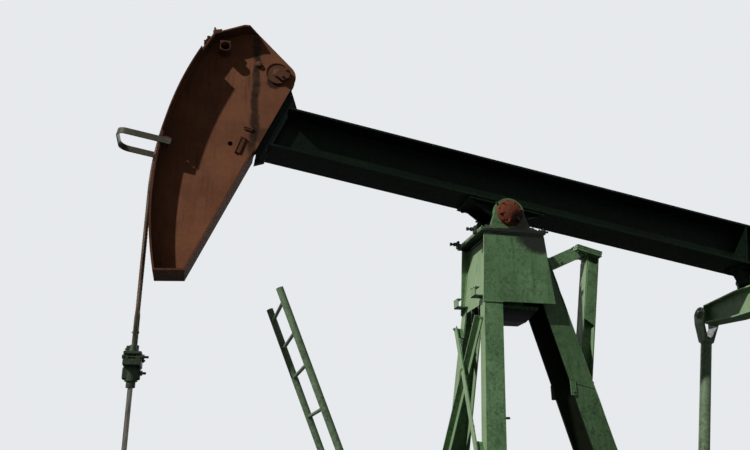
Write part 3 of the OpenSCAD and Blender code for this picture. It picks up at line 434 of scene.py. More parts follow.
class Solid:
    """Collects closed forms in one mesh. place turns a local frame into the unit's."""

    def __init__(self, place=HERE):
        self.bm = bmesh.new()
        self.place = place

    def _into(self, part, turn=HERE):
        """Add one part to the piece, turned into place."""
        part.transform(self.place @ turn)
        bmesh.ops.recalc_face_normals(part, faces=part.faces)
        mesh = bpy.data.meshes.new("part")
        part.to_mesh(mesh)
        part.free()
        self.bm.from_mesh(mesh)
        bpy.data.meshes.remove(mesh)

    def box(self, low, high, bevel=0.002, turn=HERE):
        """A block between two corners."""
        part = bmesh.new()
        bmesh.ops.create_cube(part, size=1.0)
        size = Vector(high) - Vector(low)
        middle = (Vector(high) + Vector(low)) / 2
        for v in part.verts:
            v.co = Vector((v.co.x * size.x, v.co.y * size.y, v.co.z * size.z)) + middle
        if bevel:
            width = min(bevel, min(abs(c) for c in size) * 0.3)
            bmesh.ops.bevel(part, geom=part.edges[:], offset=width, segments=1, affect="EDGES")
        self._into(part, turn)

    def block(self, side, low, high, bevel=0.002):
        """A box drawn for the +Y side, mirrored where side is -1."""
        y0, y1 = sorted((side * low[1], side * high[1]))
        self.box((low[0], y0, low[2]), (high[0], y1, high[2]), bevel)

    def rod(self, p, q, r, sides=24, bevel=0.0, turn=HERE):
        """A straight bar from p to q."""
        p = Vector(p)
        q = Vector(q)
        way = q - p
        part = bmesh.new()
        bmesh.ops.create_cone(part, cap_ends=True, segments=sides, radius1=r, radius2=r, depth=way.length)
        if bevel:
            rims = [e for e in part.edges if abs(e.verts[0].co.z - e.verts[1].co.z) < 1e-6]
            bmesh.ops.bevel(part, geom=rims, offset=bevel, segments=1, affect="EDGES")
        spin = way.to_track_quat("Z", "Y").to_matrix().to_4x4()
        part.transform(Matrix.Translation((p + q) / 2) @ spin)
        self._into(part, turn)

    def tube(self, p, q, r_out, r_in, sides=32, turn=HERE):
        """A round sleeve from p to q."""
        p = Vector(p)
        q = Vector(q)
        way = q - p
        part = bmesh.new()
        rings = []
        for z, r in ((-0.5, r_in), (-0.5, r_out), (0.5, r_out), (0.5, r_in)):
            rings.append([part.verts.new((r * math.cos(2 * math.pi * i / sides),
                                          r * math.sin(2 * math.pi * i / sides),
                                          z * way.length)) for i in range(sides)])
        for a in range(4):
            one = rings[a]
            two = rings[(a + 1) % 4]
            for i in range(sides):
                j = (i + 1) % sides
                part.faces.new((one[i], one[j], two[j], two[i]))
        spin = way.to_track_quat("Z", "Y").to_matrix().to_4x4()
        part.transform(Matrix.Translation((p + q) / 2) @ spin)
        self._into(part, turn)

    def plate(self, points, y0, y1, bevel=0.0015, turn=HERE):
        """An outline in x and z, drawn out from y0 to y1."""
        part = bmesh.new()
        near = [part.verts.new((x, y0, z)) for x, z in points]
        far = [part.verts.new((x, y1, z)) for x, z in points]
        count = len(points)
        part.faces.new(near)
        part.faces.new(list(reversed(far)))
        for i in range(count):
            j = (i + 1) % count
            part.faces.new((near[j], near[i], far[i], far[j]))
        if bevel:
            bmesh.ops.bevel(part, geom=part.edges[:], offset=bevel, segments=1, affect="EDGES")
        self._into(part, turn)

    def turned(self, profile, p, way, sides=32, turn=HERE):
        """A turned form: profile is a list of (distance along way, radius)."""
        part = bmesh.new()
        rings = []
        for z, r in profile:
            rings.append([part.verts.new((r * math.cos(2 * math.pi * i / sides),
                                          r * math.sin(2 * math.pi * i / sides),
                                          z)) for i in range(sides)])
        for one, two in zip(rings, rings[1:]):
            for i in range(sides):
                j = (i + 1) % sides
                part.faces.new((one[i], one[j], two[j], two[i]))
        part.faces.new(list(reversed(rings[0])))
        part.faces.new(rings[-1])
        spin = Vector(way).to_track_quat("Z", "Y").to_matrix().to_4x4()
        part.transform(Matrix.Translation(Vector(p)) @ spin)
        self._into(part, turn)

    def bolt(self, p, way, size=0.012, head=None, washer=True, stud=False):
        """A hexagon head on a washer; p is on the plate and way points out of it."""
        p = Vector(p)
        way = Vector(way).normalized()
        height = head or size * 0.7
        lift = 0.0
        if washer:
            lift = size * 0.16
            self.rod(p - way * 0.001, p + way * lift, size * 1.12, sides=16)
        part = bmesh.new()
        bmesh.ops.create_cone(part, cap_ends=True, segments=6, radius1=size * 0.92, radius2=size * 0.92,
                              depth=height)
        rims = [e for e in part.edges
                if abs(e.verts[0].co.z - e.verts[1].co.z) < 1e-6 and e.verts[0].co.z > 0]
        bmesh.ops.bevel(part, geom=rims, offset=size * 0.12, segments=1, affect="EDGES")
        turn = random.uniform(0, math.pi / 3)
        quat = way.to_track_quat("Z", "Y").to_matrix().to_4x4()
        part.transform(Matrix.Translation(p + way * (lift + height / 2)) @ quat @ Matrix.Rotation(turn,
                                                                                                  4, "Z"))
        self._into(part)
        if stud:
            self.rod(p + way * (lift + height - 0.001), p + way * (lift + height + size * 0.5),
                     size * 0.5, sides=12, bevel=size * 0.08)

    def bead(self, points, r=0.004, sides=6):
        """A weld bead: a thin round run along points, a little uneven."""
        points = [Vector(p) for p in points]
        dense = []
        for a, b in zip(points, points[1:]):
            steps = max(1, int((b - a).length / 0.035))
            for i in range(steps):
                dense.append(a.lerp(b, i / steps))
        dense.append(points[-1])
        self.sweep(dense, [r * random.uniform(0.8, 1.25) for _ in dense], sides)

    def sweep(self, points, radii, sides=8):
        """A round section along points, with its own radius at each point."""
        points = [Vector(p) for p in points]
        part = bmesh.new()
        if isinstance(radii, (int, float)):
            radii = [radii] * len(points)
        way = (points[1] - points[0]).normalized()
        side = way.orthogonal().normalized()
        rings = []
        for k, p in enumerate(points):
            ahead = points[min(k + 1, len(points) - 1)] - points[max(k - 1, 0)]
            ahead.normalize()
            side = (side - ahead * side.dot(ahead)).normalized()
            cross = ahead.cross(side)
            rings.append([part.verts.new(p + (side * math.cos(2 * math.pi * i / sides)
                                              + cross * math.sin(2 * math.pi * i / sides)) * radii[k])
                          for i in range(sides)])
        for one, two in zip(rings, rings[1:]):
            for i in range(sides):
                j = (i + 1) % sides
                part.faces.new((one[i], one[j], two[j], two[i]))
        part.faces.new(list(reversed(rings[0])))
        part.faces.new(rings[-1])
        self._into(part)

    def make(self, name, body, mat, replaces=(), angle=35.0):
        """Turn what was drawn into one named piece on its body."""
        mesh = bpy.data.meshes.new(name)
        self.bm.to_mesh(mesh)
        self.bm.free()
        mesh.shade_smooth()
        mesh.set_sharp_from_angle(angle=math.radians(angle))
        mesh.materials.append(mat)
        piece = bpy.data.objects.new(name, mesh)
        bpy.context.collection.objects.link(piece)
        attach(piece, body)
        if replaces:
            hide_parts(*replaces)
        return piece


def on_arc(angle, radius=ARC_R):
    """A point on the rope face's circle in the beam's frame, as x and z."""
    return (-radius * math.cos(math.radians(angle)), radius * math.sin(math.radians(angle)))


def ring_of(centre, radius, count, first=0.0, extra=0):
    """Points round a circle in x and z, from first degrees on. extra points go on past the start."""
    points = []
    for k in range(count + extra):
        t = math.radians(first) + 2 * math.pi * k / count
        points.append(Vector(centre) + Vector((radius * math.cos(t), 0, radius * math.sin(t))))
    return points


def paint_nodes(mat, *names):
    """Give the named nodes a material."""
    for name in names:
        data = NODES[name].data
        if not data.materials:
            data.materials.append(mat)
        for i in range(len(data.materials)):
            data.materials[i] = mat


bpy.context.scene.view_settings.view_transform = "Standard"
aim_camera()
light_scene()
add_floor()

# The solids that stay as they are take the painted finishes
paint_nodes(GREEN, "front_leg_near", "front_leg_far", "front_bracing", "rest_post", "rest_cap",
            "ladder_foot", "skid_beam_near", "skid_beam_far", "skid_cross_members", "equalizer")
paint_nodes(BOX_GREEN, "post_head_box")
paint_nodes(REAR_GREEN, "rear_leg")
paint_nodes(BEARING_GREEN, "saddle_bearings")
paint_nodes(PALE_GREEN, "ladder_rails", "ladder_rungs", "pitman_near", "pitman_far")
paint_nodes(MACHINE_GREEN, "gearbox_stand", "gearbox", "belt_guard", "motor", "motor_base", "crank_near",
            "crank_far", "counterweights_near", "counterweights_far")
paint_nodes(BEAM_SHADE_GREEN, "walking_beam", "saddle_bracket", "tail_bearing")
paint_nodes(HANGER_SHADE_PAINT, "head_hanger")
paint_nodes(DARK_GREEN, "brake", "carrier_bar")
paint_nodes(PLATE, "head_side_near", "head_side_far")
paint_nodes(EDGE_RUST, "head_rope_face", "head_rim_plates", "head_pin", "rope_anchor")
paint_nodes(DULL_PAINT, "rope_guard")
paint_nodes(RED_RUST, "bearing_caps")
paint_nodes(STEEL, "saddle_shaft", "crankshaft", "polished_rod")
paint_nodes(ROPE, "bridle_wrap", "bridle_rope")

# Horsehead

SIDE = 0.041
RIM = 0.14
BROW = (-2.194, 1.021)
CORNER = (-2.094, 1.045)
STRIP_W = 0.050
LOW_FRONT = on_arc(-22.3)
LOW_REAR = (-2.163, -0.925)
REAR_TOP = (-1.906, 0.060)


def between(p, q, share):
    """The point at a share of the way from p to q, in two axes."""
    return (p[0] + (q[0] - p[0]) * share, p[1] + (q[1] - p[1]) * share)


def horsehead_welds():
    """Weld beads round both side plates."""
    s = Solid(BEAM)
    for side in (-1, 1):
        y = side * (SIDE + 0.001)
        inner = ARC_R - 0.015
        arc = [on_arc(a * 0.5, inner) for a in range(-44, 41)]
        s.bead([(x, y, z) for x, z in arc], 0.005)
        rear = [between(LOW_REAR, REAR_TOP, k / 24) for k in range(25)]
        s.bead([(x - 0.014, y, z) for x, z in rear], 0.0045)
        foot = [between(LOW_REAR, LOW_FRONT, k / 6) for k in range(7)]
        s.bead([(x, y, z + 0.014) for x, z in foot[:-1]], 0.0045)
        brow = [on_arc(20.3, ARC_R - 0.016), BROW, CORNER]
        s.bead([(x + 0.004, y, z - 0.014) for x, z in brow], 0.0045)
    s.make("horsehead_welds", "beam", EDGE_RUST)


def horsehead_pin():
    """Head pin with its raised rings and the bolted keeper on each side."""
    s = Solid(BEAM)
    u, w = HEAD_PIN
    s.rod((u, -SIDE - 0.012, w), (u, SIDE + 0.012, w), 0.0359, sides=40)
    for side in (-1, 1):
        out = Vector((0, side, 0))
        base = Vector((u, side * SIDE, w))
        s.turned([(0.0, 0.086), (0.006, 0.086), (0.008, 0.084)], base, out, 56)
        s.tube(base + out * 0.002, base + out * 0.014, 0.0878, 0.0815, 56)
        s.turned([(0.006, 0.036), (0.014, 0.036), (0.018, 0.031), (0.021, 0.018)], base, out, 40)
        keeper = [(u - 0.006, w - 0.034), (u + 0.052, w - 0.062), (u + 0.092, w - 0.022),
                  (u + 0.090, w + 0.040), (u + 0.046, w + 0.056), (u + 0.030, w + 0.010)]
        s.plate(keeper, side * (SIDE + 0.010), side * (SIDE + 0.034))
        s.bolt(base + Vector((0.060, side * 0.034, 0.034)), out, 0.012)
        s.bolt(base + Vector((0.040, side * 0.034, -0.028)), out, 0.012)
        s.turned([(0.0, 0.024), (0.012, 0.024), (0.019, 0.020), (0.022, 0.012)],
                 base + Vector((-0.150, 0.0, 0.035)), out, 24)
    s.make("horsehead_pin", "beam", EDGE_RUST, ("head_pin",))


def horsehead_fittings():
    """Lugs and clips welded to the near side plate, and the anchor bar under the brow."""
    s = Solid(BEAM)
    y = -SIDE
    tilt = Matrix.Translation((-2.012, y, 0.086)) @ Matrix.Rotation(math.radians(9), 4, "Y")
    s.box((-0.016, -0.011, -0.062), (0.018, 0.001, 0.062), 0.003, tilt)
    s.box((-0.023, -0.015, -0.066), (-0.015, 0.001, 0.068), 0.002, tilt)
    s.box((-0.023, -0.015, 0.060), (0.021, 0.001, 0.068), 0.002, tilt)
    clip = Matrix.Translation((-1.985, y, 0.236)) @ Matrix.Rotation(math.radians(2), 4, "Y")
    s.box((-0.036, -0.014, -0.004), (0.036, 0.001, 0.006), 0.002, clip)
    s.box((-0.030, -0.010, -0.018), (0.030, 0.001, 0.000), 0.002, clip)
    bar = Vector((-2.290, 0.0, 0.806))
    for side in (-1, 1):
        s.tube(bar + Vector((0, side * (SIDE - 0.001), 0)), bar + Vector((0, side * 0.132, 0)), 0.040,
               0.034, 32)
        s.bead(ring_of(bar + Vector((0, side * (SIDE + 0.002), 0)), 0.043, 16, extra=1), 0.005)
        gusset = [(-2.345, 0.850), (-2.258, 0.868), (-2.264, 0.836), (-2.322, 0.820)]
        s.plate(gusset, side * SIDE, side * 0.118)
        # keeper strip along the upper rope face, from the guard to the bar
        outer = [on_arc(0.4 + 0.84 * k, ARC_R - 0.002) for k in range(20)]
        inner = [on_arc(0.4 + 0.84 * k, ARC_R - 0.010) for k in range(19, -1, -1)]
        s.plate(outer + inner, side * (RIM - 0.002), side * (RIM + STRIP_W), 0.0)
        # bracket that the ropes' clamps are bolted to, at the brow
        low = on_arc(19.9, ARC_R + 0.002)
        s.plate([(low[0] - 0.006, low[1] + 0.052), (low[0] + 0.052, low[1] + 0.078),
                 (low[0] + 0.066, low[1] + 0.052),
                 (low[0] + 0.020, low[1] + 0.006)], side * 0.030, side * 0.120)
        s.rod((low[0] + 0.026, side * 0.075, low[1] + 0.050),
              (low[0] - 0.004, side * 0.075, low[1] + 0.100), 0.008, sides=12)
    for side in (-1, 1):
        clip_y = side * RIM
        s.box((-2.536, clip_y - side * 0.010 - 0.004, -0.085),
              (-2.470, clip_y - side * 0.010 + 0.004, -0.020), 0.002)
        s.block(side, (-2.500, SIDE, -0.060), (-2.492, RIM, -0.030))
        for u, w in ((-2.522, -0.036), (-2.522, -0.068), (-2.484, -0.052)):
            s.bolt((u, clip_y - side * 0.006, w), (0, side, 0), 0.011)
    s.make("horsehead_fittings", "beam", EDGE_RUST)


def rope_sockets():
    """Clamp blocks that hold the two rope legs at the top of the rope face."""
    s = Solid(BEAM)
    for side in (-1, 1):
        angle = math.radians(19.45)
        x, z = on_arc(19.45, ARC_R)
        turn = Matrix.Translation((x, side * ROPE_Y, z)) @ Matrix.Rotation(angle - math.pi / 2, 4, "Y")
        s.box((-0.036, -0.025, 0.0005), (0.036, 0.025, 0.024), 0.004, turn)
        s.box((-0.036, -0.025, 0.025), (0.036, 0.025, 0.038), 0.006, turn)
        for a in (-0.022, 0.022):
            for b in (-0.018, 0.018):
                s.rod((a, b, 0.038), (a, b, 0.044), 0.008, sides=6, turn=turn)
    s.make("rope_sockets", "beam", EDGE_RUST, ("rope_anchor",))


def lay_rope(s, points, lay=0.155, strands=6):
    """Six strands twisted round a core, along points."""
    points = [Vector(p) for p in points]
    core = 0.0068
    s.sweep(points[::4] + [points[-1]] if (len(points) - 1) % 4 else points[::4], core, 8)
    run = 0.0
    side = (points[1] - points[0]).normalized().orthogonal().normalized()
    frames = []
    for k, p in enumerate(points):
        if k:
            run += (p - points[k - 1]).length
        ahead = (points[min(k + 1, len(points) - 1)] - points[max(k - 1, 0)]).normalized()
        side = (side - ahead * side.dot(ahead)).normalized()
        frames.append((p, side.copy(), ahead.cross(side), run))
    for n in range(strands):
        path = []
        for p, a, b, t in frames:
            turn = 2 * math.pi * (t / lay + n / strands)
            path.append(p + (a * math.cos(turn) + b * math.sin(turn)) * 0.0074)
        s.sweep(path, 0.0043, 6)


def ropes():
    """The two bridle ropes: wrapped on the head, and hanging to the carrier."""
    s = Solid(BEAM)
    for side in (-1, 1):
        arc = [on_arc(-9.69 + 29.7 * k / 96, ROPE_PATH) for k in range(97)]
        lay_rope(s, [(x, side * ROPE_Y, z) for x, z in arc])
    s.make("bridle_on_head", "beam", ROPE, ("bridle_wrap",), 60)
    s = Solid()
    for side in (-1, 1):
        lay_rope(s, [(-ROPE_PATH, side * ROPE_Y, 3.495 - 1.045 * k / 76) for k in range(77)])
    s.make("bridle_hanging", "rod", ROPE, ("bridle_rope",), 60)


def carrier():
    """Carrier bar: two plates clamped round the rod, with a socket on each rope."""
    s = Solid()
    x = -ROPE_PATH
    s.box((x - 0.055, -0.090, 2.340), (x + 0.055, 0.090, 2.378), 0.004)
    s.box((x - 0.055, -0.090, 2.408), (x + 0.055, 0.090, 2.428), 0.004)
    s.box((x - 0.049, -0.082, 2.378), (x - 0.020, 0.082, 2.408), 0.003)
    s.box((x + 0.020, -0.082, 2.378), (x + 0.049, 0.082, 2.408), 0.003)
    for side in (-1, 1):
        y = side * ROPE_Y
        s.turned([(0.0, 0.026), (0.085, 0.026), (0.100, 0.024), (0.128, 0.017), (0.136, 0.0135)],
                 (x, y, 2.341), (0, 0, 1), 28)
        s.rod((x - 0.062, side * 0.074, 2.393), (x + 0.070, side * 0.074, 2.393), 0.007, sides=12)
        s.rod((x + 0.049, side * 0.074, 2.393), (x + 0.062, side * 0.074, 2.393), 0.014, sides=6)
        s.rod((x - 0.060, side * 0.074, 2.393), (x - 0.049, side * 0.074, 2.393), 0.014, sides=6)
    s.rod((x + 0.040, -0.030, 2.400), (x + 0.096, -0.030, 2.400), 0.008, sides=12, bevel=0.001)
    s.rod((x + 0.055, -0.030, 2.400), (x + 0.070, -0.030, 2.400), 0.016, sides=6)
    s.rod((x + 0.030, -0.020, 2.300), (x + 0.088, -0.020, 2.300), 0.008, sides=12, bevel=0.001)
    s.rod((x + 0.052, -0.020, 2.300), (x + 0.066, -0.020, 2.300), 0.016, sides=6)
    s.tube((x, 0, 2.250), (x, 0, 2.341), 0.040, 0.0162, 32)
    s.box((x - 0.056, -0.030, 2.262), (x - 0.017, 0.030, 2.335), 0.005)
    s.box((x + 0.017, -0.030, 2.262), (x + 0.052, 0.030, 2.335), 0.005)
    s.tube((x, 0, 2.212), (x, 0, 2.252), 0.029, 0.0162, 32)
    s.tube((x, 0, 2.427), (x, 0, 2.476), 0.030, 0.0162, 28)
    s.box((x - 0.046, -0.022, 2.430), (x - 0.016, 0.022, 2.472), 0.004)
    s.bolt((x - 0.046, 0.0, 2.452), (-1, 0, 0), 0.009)
    s.make("carrier_clamp", "rod", DARK_GREEN, ("carrier_bar",))


def rod_sleeve():
    """The rod's painted upper end, its clamp ring and its machined end."""
    s = Solid()
    x = -ROPE_PATH
    s.turned([(0.0, 0.0185), (0.190, 0.0185), (0.198, 0.0172), (0.208, 0.0172), (0.214, 0.0145),
              (0.2255, 0.0145)],
             (x, 0, 2.474), (0, 0, 1), 28)
    s.tube((x, 0, 2.556), (x, 0, 2.566), 0.0225, 0.018, 24)
    s.bolt((x - 0.021, 0.0, 2.561), (-1, 0, 0), 0.005, washer=False)
    s.make("rod_sleeve", "rod", GREEN)


# Saddle, post and beam rest

def bearing_covers():
    """Stepped end covers of the saddle bearings with ribs, bolts and grease points."""
    s = Solid()
    for side in (-1, 1):
        out = Vector((0, side, 0))
        base = Vector((0, side * 0.2001, PIVOT))
        s.turned([(0.0, 0.099), (0.014, 0.099), (0.020, 0.095), (0.024, 0.083), (0.034, 0.077),
                  (0.042, 0.068),
                  (0.046, 0.050), (0.052, 0.040), (0.056, 0.026), (0.057, 0.004)], base, out, 48)
        for k in range(6):
            t = math.radians(12 + 60 * k)
            ray = Vector((math.cos(t), 0, math.sin(t)))
            along = Vector((-math.sin(t), 0, math.cos(t)))
            turn = Matrix((ray, out, along)).transposed().to_4x4()
            rib = Matrix.Translation(base) @ turn
            s.plate([(0.030, -0.006), (0.092, -0.006), (0.092, 0.006), (0.030, 0.006)], 0.016, 0.046,
                    0.003, rib)
        for p in ring_of(base + out * 0.019, 0.086, 6, 42):
            s.bolt(p, out, 0.0105)
        s.rod(base + out * 0.050, base + out * 0.0575, 0.013, sides=6)
        s.bead(ring_of(base + out * 0.003, 0.0985, 24, extra=1), 0.003)
    s.make("bearing_covers", "frame", RED_RUST, ("bearing_caps",))


def saddle_details():
    """Foot nuts and seams of the saddle bearings, and the jacking bolts of the top plate."""
    s = Solid()
    for side in (-1, 1):
        y = side * 0.180
        for x in (-0.182, 0.182):
            s.bolt((x, y, 3.382), (0, 0, 1), 0.017, stud=True)
            s.box((x - 0.024, y - 0.024, 3.3595), (x + 0.024, y + 0.024, 3.384), 0.003)
        for y in (side * 0.2015, side * 0.1585):
            s.bead([(-0.208, y, 3.362), (0.208, y, 3.362)], 0.004)
        s.rod((-0.085, side * 0.200, 3.560), (-0.105, side * 0.212, 3.575), 0.006, sides=10)
    for side in (-1, 1):
        for x in (-0.232, 0.215):
            s.bolt((x, side * 0.222, 3.360), (0, 0, 1), 0.014, stud=True)
            s.bolt((x, side * 0.085, 3.360), (0, 0, 1), 0.014, stud=True)
    # jacking bolts on the front edge of the top plate
    for y in (-0.15, 0.215):
        s.box((-0.272, y - 0.022, 3.340), (-0.254, y + 0.022, 3.396), 0.003)
        s.rod((-0.318, y, 3.372), (-0.205, y, 3.372), 0.008, sides=12, bevel=0.001)
        s.rod((-0.296, y, 3.372), (-0.282, y, 3.372), 0.016, sides=6)
        s.rod((-0.325, y, 3.372), (-0.312, y, 3.372), 0.014, sides=6)
    for y in (-0.19, 0.19):
        s.box((0.249, y - 0.020, 3.345), (0.263, y + 0.020, 3.394), 0.003)
        s.rod((0.215, y, 3.374), (0.300, y, 3.374), 0.008, sides=12, bevel=0.001)
        s.rod((0.263, y, 3.374), (0.276, y, 3.374), 0.015, sides=6)
    s.make("saddle_bolts", "frame", DARK_GREEN)


def front_plate_x(z):
    """Front face of the head box's front plate."""
    return -0.163 - 0.079 * (3.335 - z) / 0.515


# Heights where the post's parts start, and how far each leans for a metre of height
BOX_TOP = 3.335
BOX_HEIGHT = 0.515
LEG_TOP = 2.820
LEG_LEAN = 0.1127
LEG_SPREAD = 0.1515
REAR_LEG_TOP = 3.200
REAR_LEAN = 0.283
REST_LEAN = 0.18


def side_front_x(z):
    """Front edge of the head box's side at height z."""
    return -0.225 - 0.037 * (BOX_TOP - z) / BOX_HEIGHT


def side_rear_x(z):
    """Rear edge of the head box's side at height z."""
    return 0.238 + 0.045 * (BOX_TOP - z) / BOX_HEIGHT


def head_box_details():
    """Seams of the head box and the angle clips on its front."""
    s = Solid()
    for side in (-1, 1):
        y = side * 0.2215
        s.bead([(front_plate_x(z) - 0.003, y, z) for z in (3.33, 3.2, 3.08, 2.95, 2.825)], 0.005)
        s.bead([(side_front_x(3.335), side * 0.236, 3.334), (side_rear_x(3.335), side * 0.236, 3.334)],
               0.0045)
        s.bead([(-0.262, side * 0.234, 2.818), (-0.118, side * 0.234, 2.818)], 0.0045)
        s.bead([(0.242, side * 0.223, 3.32), (0.262, side * 0.223, 3.08), (0.281, side * 0.223, 2.84)],
               0.004)
    s.bead([(front_plate_x(3.335) - 0.002, y, 3.333) for y in (-0.2, 0.0, 0.2)], 0.0045)
    # angle clips in front of the head box, at the heads of the top braces
    z = 2.862
    x = front_plate_x(z)
    for side in (-1, 1):
        for x1, z0, z1 in ((0.002, -0.004, 0.004), (-0.074, -0.004, 0.062), (-0.046, 0.054, 0.062)):
            s.block(side, (x - 0.082, 0.135, z + z0), (x + x1, 0.222, z + z1), 0.0015)
        s.bolt((x - 0.036, side * 0.178, z - 0.004), (0, 0, -1), 0.011)
    s.make("head_box_details", "frame", GREEN)


def leg_front(z):
    """x of the front legs' front face at height z."""
    return -0.253 - LEG_LEAN * (LEG_TOP - z)


def leg_side(z):
    return 0.232 + LEG_SPREAD * (LEG_TOP - z)


def leg_details():
    """Brace bolts, gussets and foot bolts of the two front legs."""
    s = Solid()
    levels = (0.35, 1.0, 1.76, 2.75)
    way = Vector((-1.0, 0.0, 0.1127)).normalized()
    for low_z, high_z in zip(levels, levels[1:]):
        for z in (low_z + 0.045, high_z - 0.045):
            for side in (-1, 1):
                y = side * (leg_side(z) - 0.0425)
                over = (side > 0) == (z > low_z + 0.1)
                front = Vector((leg_front(z) - (0.0585 if over else 0.0085), y, z))
                s.bolt(front, way, 0.011, stud=True)
        share = (leg_side(low_z) - 0.0425) / (leg_side(low_z) + leg_side(high_z) - 0.085)
        z = low_z + 0.04 + (high_z - low_z - 0.08) * share
        s.bolt((leg_front(z) - 0.0585, 0.0, z), way, 0.010)
    for side in (-1, 1):
        z = 0.26
        x = leg_front(z)
        y = leg_side(z)
        for dx, dy in ((-0.018, 0.006), (-0.018, -0.095), (0.152, 0.006), (0.152, -0.095)):
            s.bolt((x + dx, side * (y + dy), z), (0, 0, 1), 0.013, stud=True)
        rib = [(x + 0.135, z), (x + 0.165, z), (x + 0.150, z + 0.130)]
        s.plate(rib, side * (y - 0.050), side * (y - 0.042))
        s.bead([(x, side * (y + 0.001), z), (x + 0.135, side * (y + 0.001), z)], 0.005)
        s.bead([(leg_front(2.82) + 0.002, side * 0.236, 2.815),
                (leg_front(2.82) + 0.132, side * 0.236, 2.815)], 0.004)
        # peg on the back of each front leg
        z = 2.02
        x = leg_front(z) + 0.135
        y = side * (leg_side(z) - 0.030)
        s.rod((x - 0.010, y, z), (x + 0.040, y, z), 0.008, sides=12, bevel=0.001)
    s.make("leg_details", "frame", GREEN)


def rear_x(z):
    """x of the rear leg at height z."""
    return 0.212 + REAR_LEAN * (REAR_LEG_TOP - z)


def rear_leg_details():
    """Foot bolts, seams and butt joint of the rear leg."""
    s = Solid()
    for side in (-1, 1):
        for dx in (-0.095, 0.095):
            s.bolt((rear_x(0.243) + dx, side * 0.166, 0.240), (0, 0, 1), 0.014, stud=True)
        s.bead([(rear_x(z) + 0.083, side * 0.1505, z) for z in (0.25, 1.0, 1.8, 2.6, 3.19)], 0.005)
    # butt joint of the rear leg, with a clip on its front corners
    z = 2.265
    for side in (-1, 1):
        s.bead([(rear_x(z) - 0.078, side * 0.1505, z + 0.02),
                (rear_x(z) + 0.078, side * 0.1505, z - 0.02)], 0.004)
        s.box((rear_x(z) - 0.096, side * 0.146, z - 0.07), (rear_x(z) - 0.060, side * 0.158, z + 0.035),
              0.002)
        s.bolt((rear_x(z) - 0.078, side * 0.158, z - 0.045), (0, side, 0), 0.009)
        low = 1.40
        lip = [(rear_x(low) - 0.088, low), (rear_x(low) - 0.079, low),
               (rear_x(z - 0.05) - 0.079, z - 0.05),
               (rear_x(z - 0.05) - 0.088, z - 0.05)]
        s.plate(lip, side * 0.128, side * 0.150)
    s.bead([(rear_x(z) + 0.0845, y, z + 0.02) for y in (-0.148, 0.0, 0.148)], 0.005)
    s.make("rear_leg_details", "frame", REAR_GREEN)


REST_AT = Vector((0.694, 0.0, 3.313))
REST_TILT = math.radians(14)


def rest_post_x(z):
    """x of the rest post at height z."""
    return REST_AT.x + 0.050 + REST_LEAN * (z - REST_AT.z)


def beam_rest():
    """Layered rest cap, its bolts and the cover plate on the post."""
    s = Solid()
    frame_at = Matrix.Translation(REST_AT) @ Matrix.Rotation(REST_TILT, 4, "Y")
    for low, high, inset in ((-0.045, -0.033, 0.0), (-0.033, -0.026, 0.004), (-0.026, -0.015, 0.0),
                             (-0.015, -0.010, 0.004), (-0.010, 0.0, 0.0)):
        half_u = 0.105 - inset
        half_y = 0.088 - inset
        s.box((-half_u, -half_y, low), (half_u, half_y, high), 0.0 if inset else 0.0015, frame_at)
    s.make("rest_pads", "frame", GREEN, ("rest_cap",))
    s = Solid()
    down = frame_at.to_3x3() @ Vector((0, 0, -1))
    for side in (-1, 1):
        for u in (-0.085, -0.020):
            s.bolt(frame_at @ Vector((u, side * 0.068, -0.045)), down, 0.010, stud=True)
    low = 2.74
    for side in (-1, 1):
        cover = [(rest_post_x(low) - 0.041, low + 0.03), (rest_post_x(low) + 0.041, low - 0.03),
                 (rest_post_x(3.19) + 0.041, 3.190), (rest_post_x(3.21) - 0.041, 3.215)]
        y0 = side * 0.048
        y1 = side * 0.055
        s.plate(cover, min(y0, y1), max(y0, y1))
        seam = [(rest_post_x(z) - 0.0485, side * 0.0485, z) for z in (2.4, 2.7, 3.0, 3.22)]
        s.bead(seam, 0.003)
    s.bead([(0.262, y, 3.145) for y in (-0.05, 0.0, 0.05)], 0.004)
    s.make("rest_post_details", "frame", GREEN)


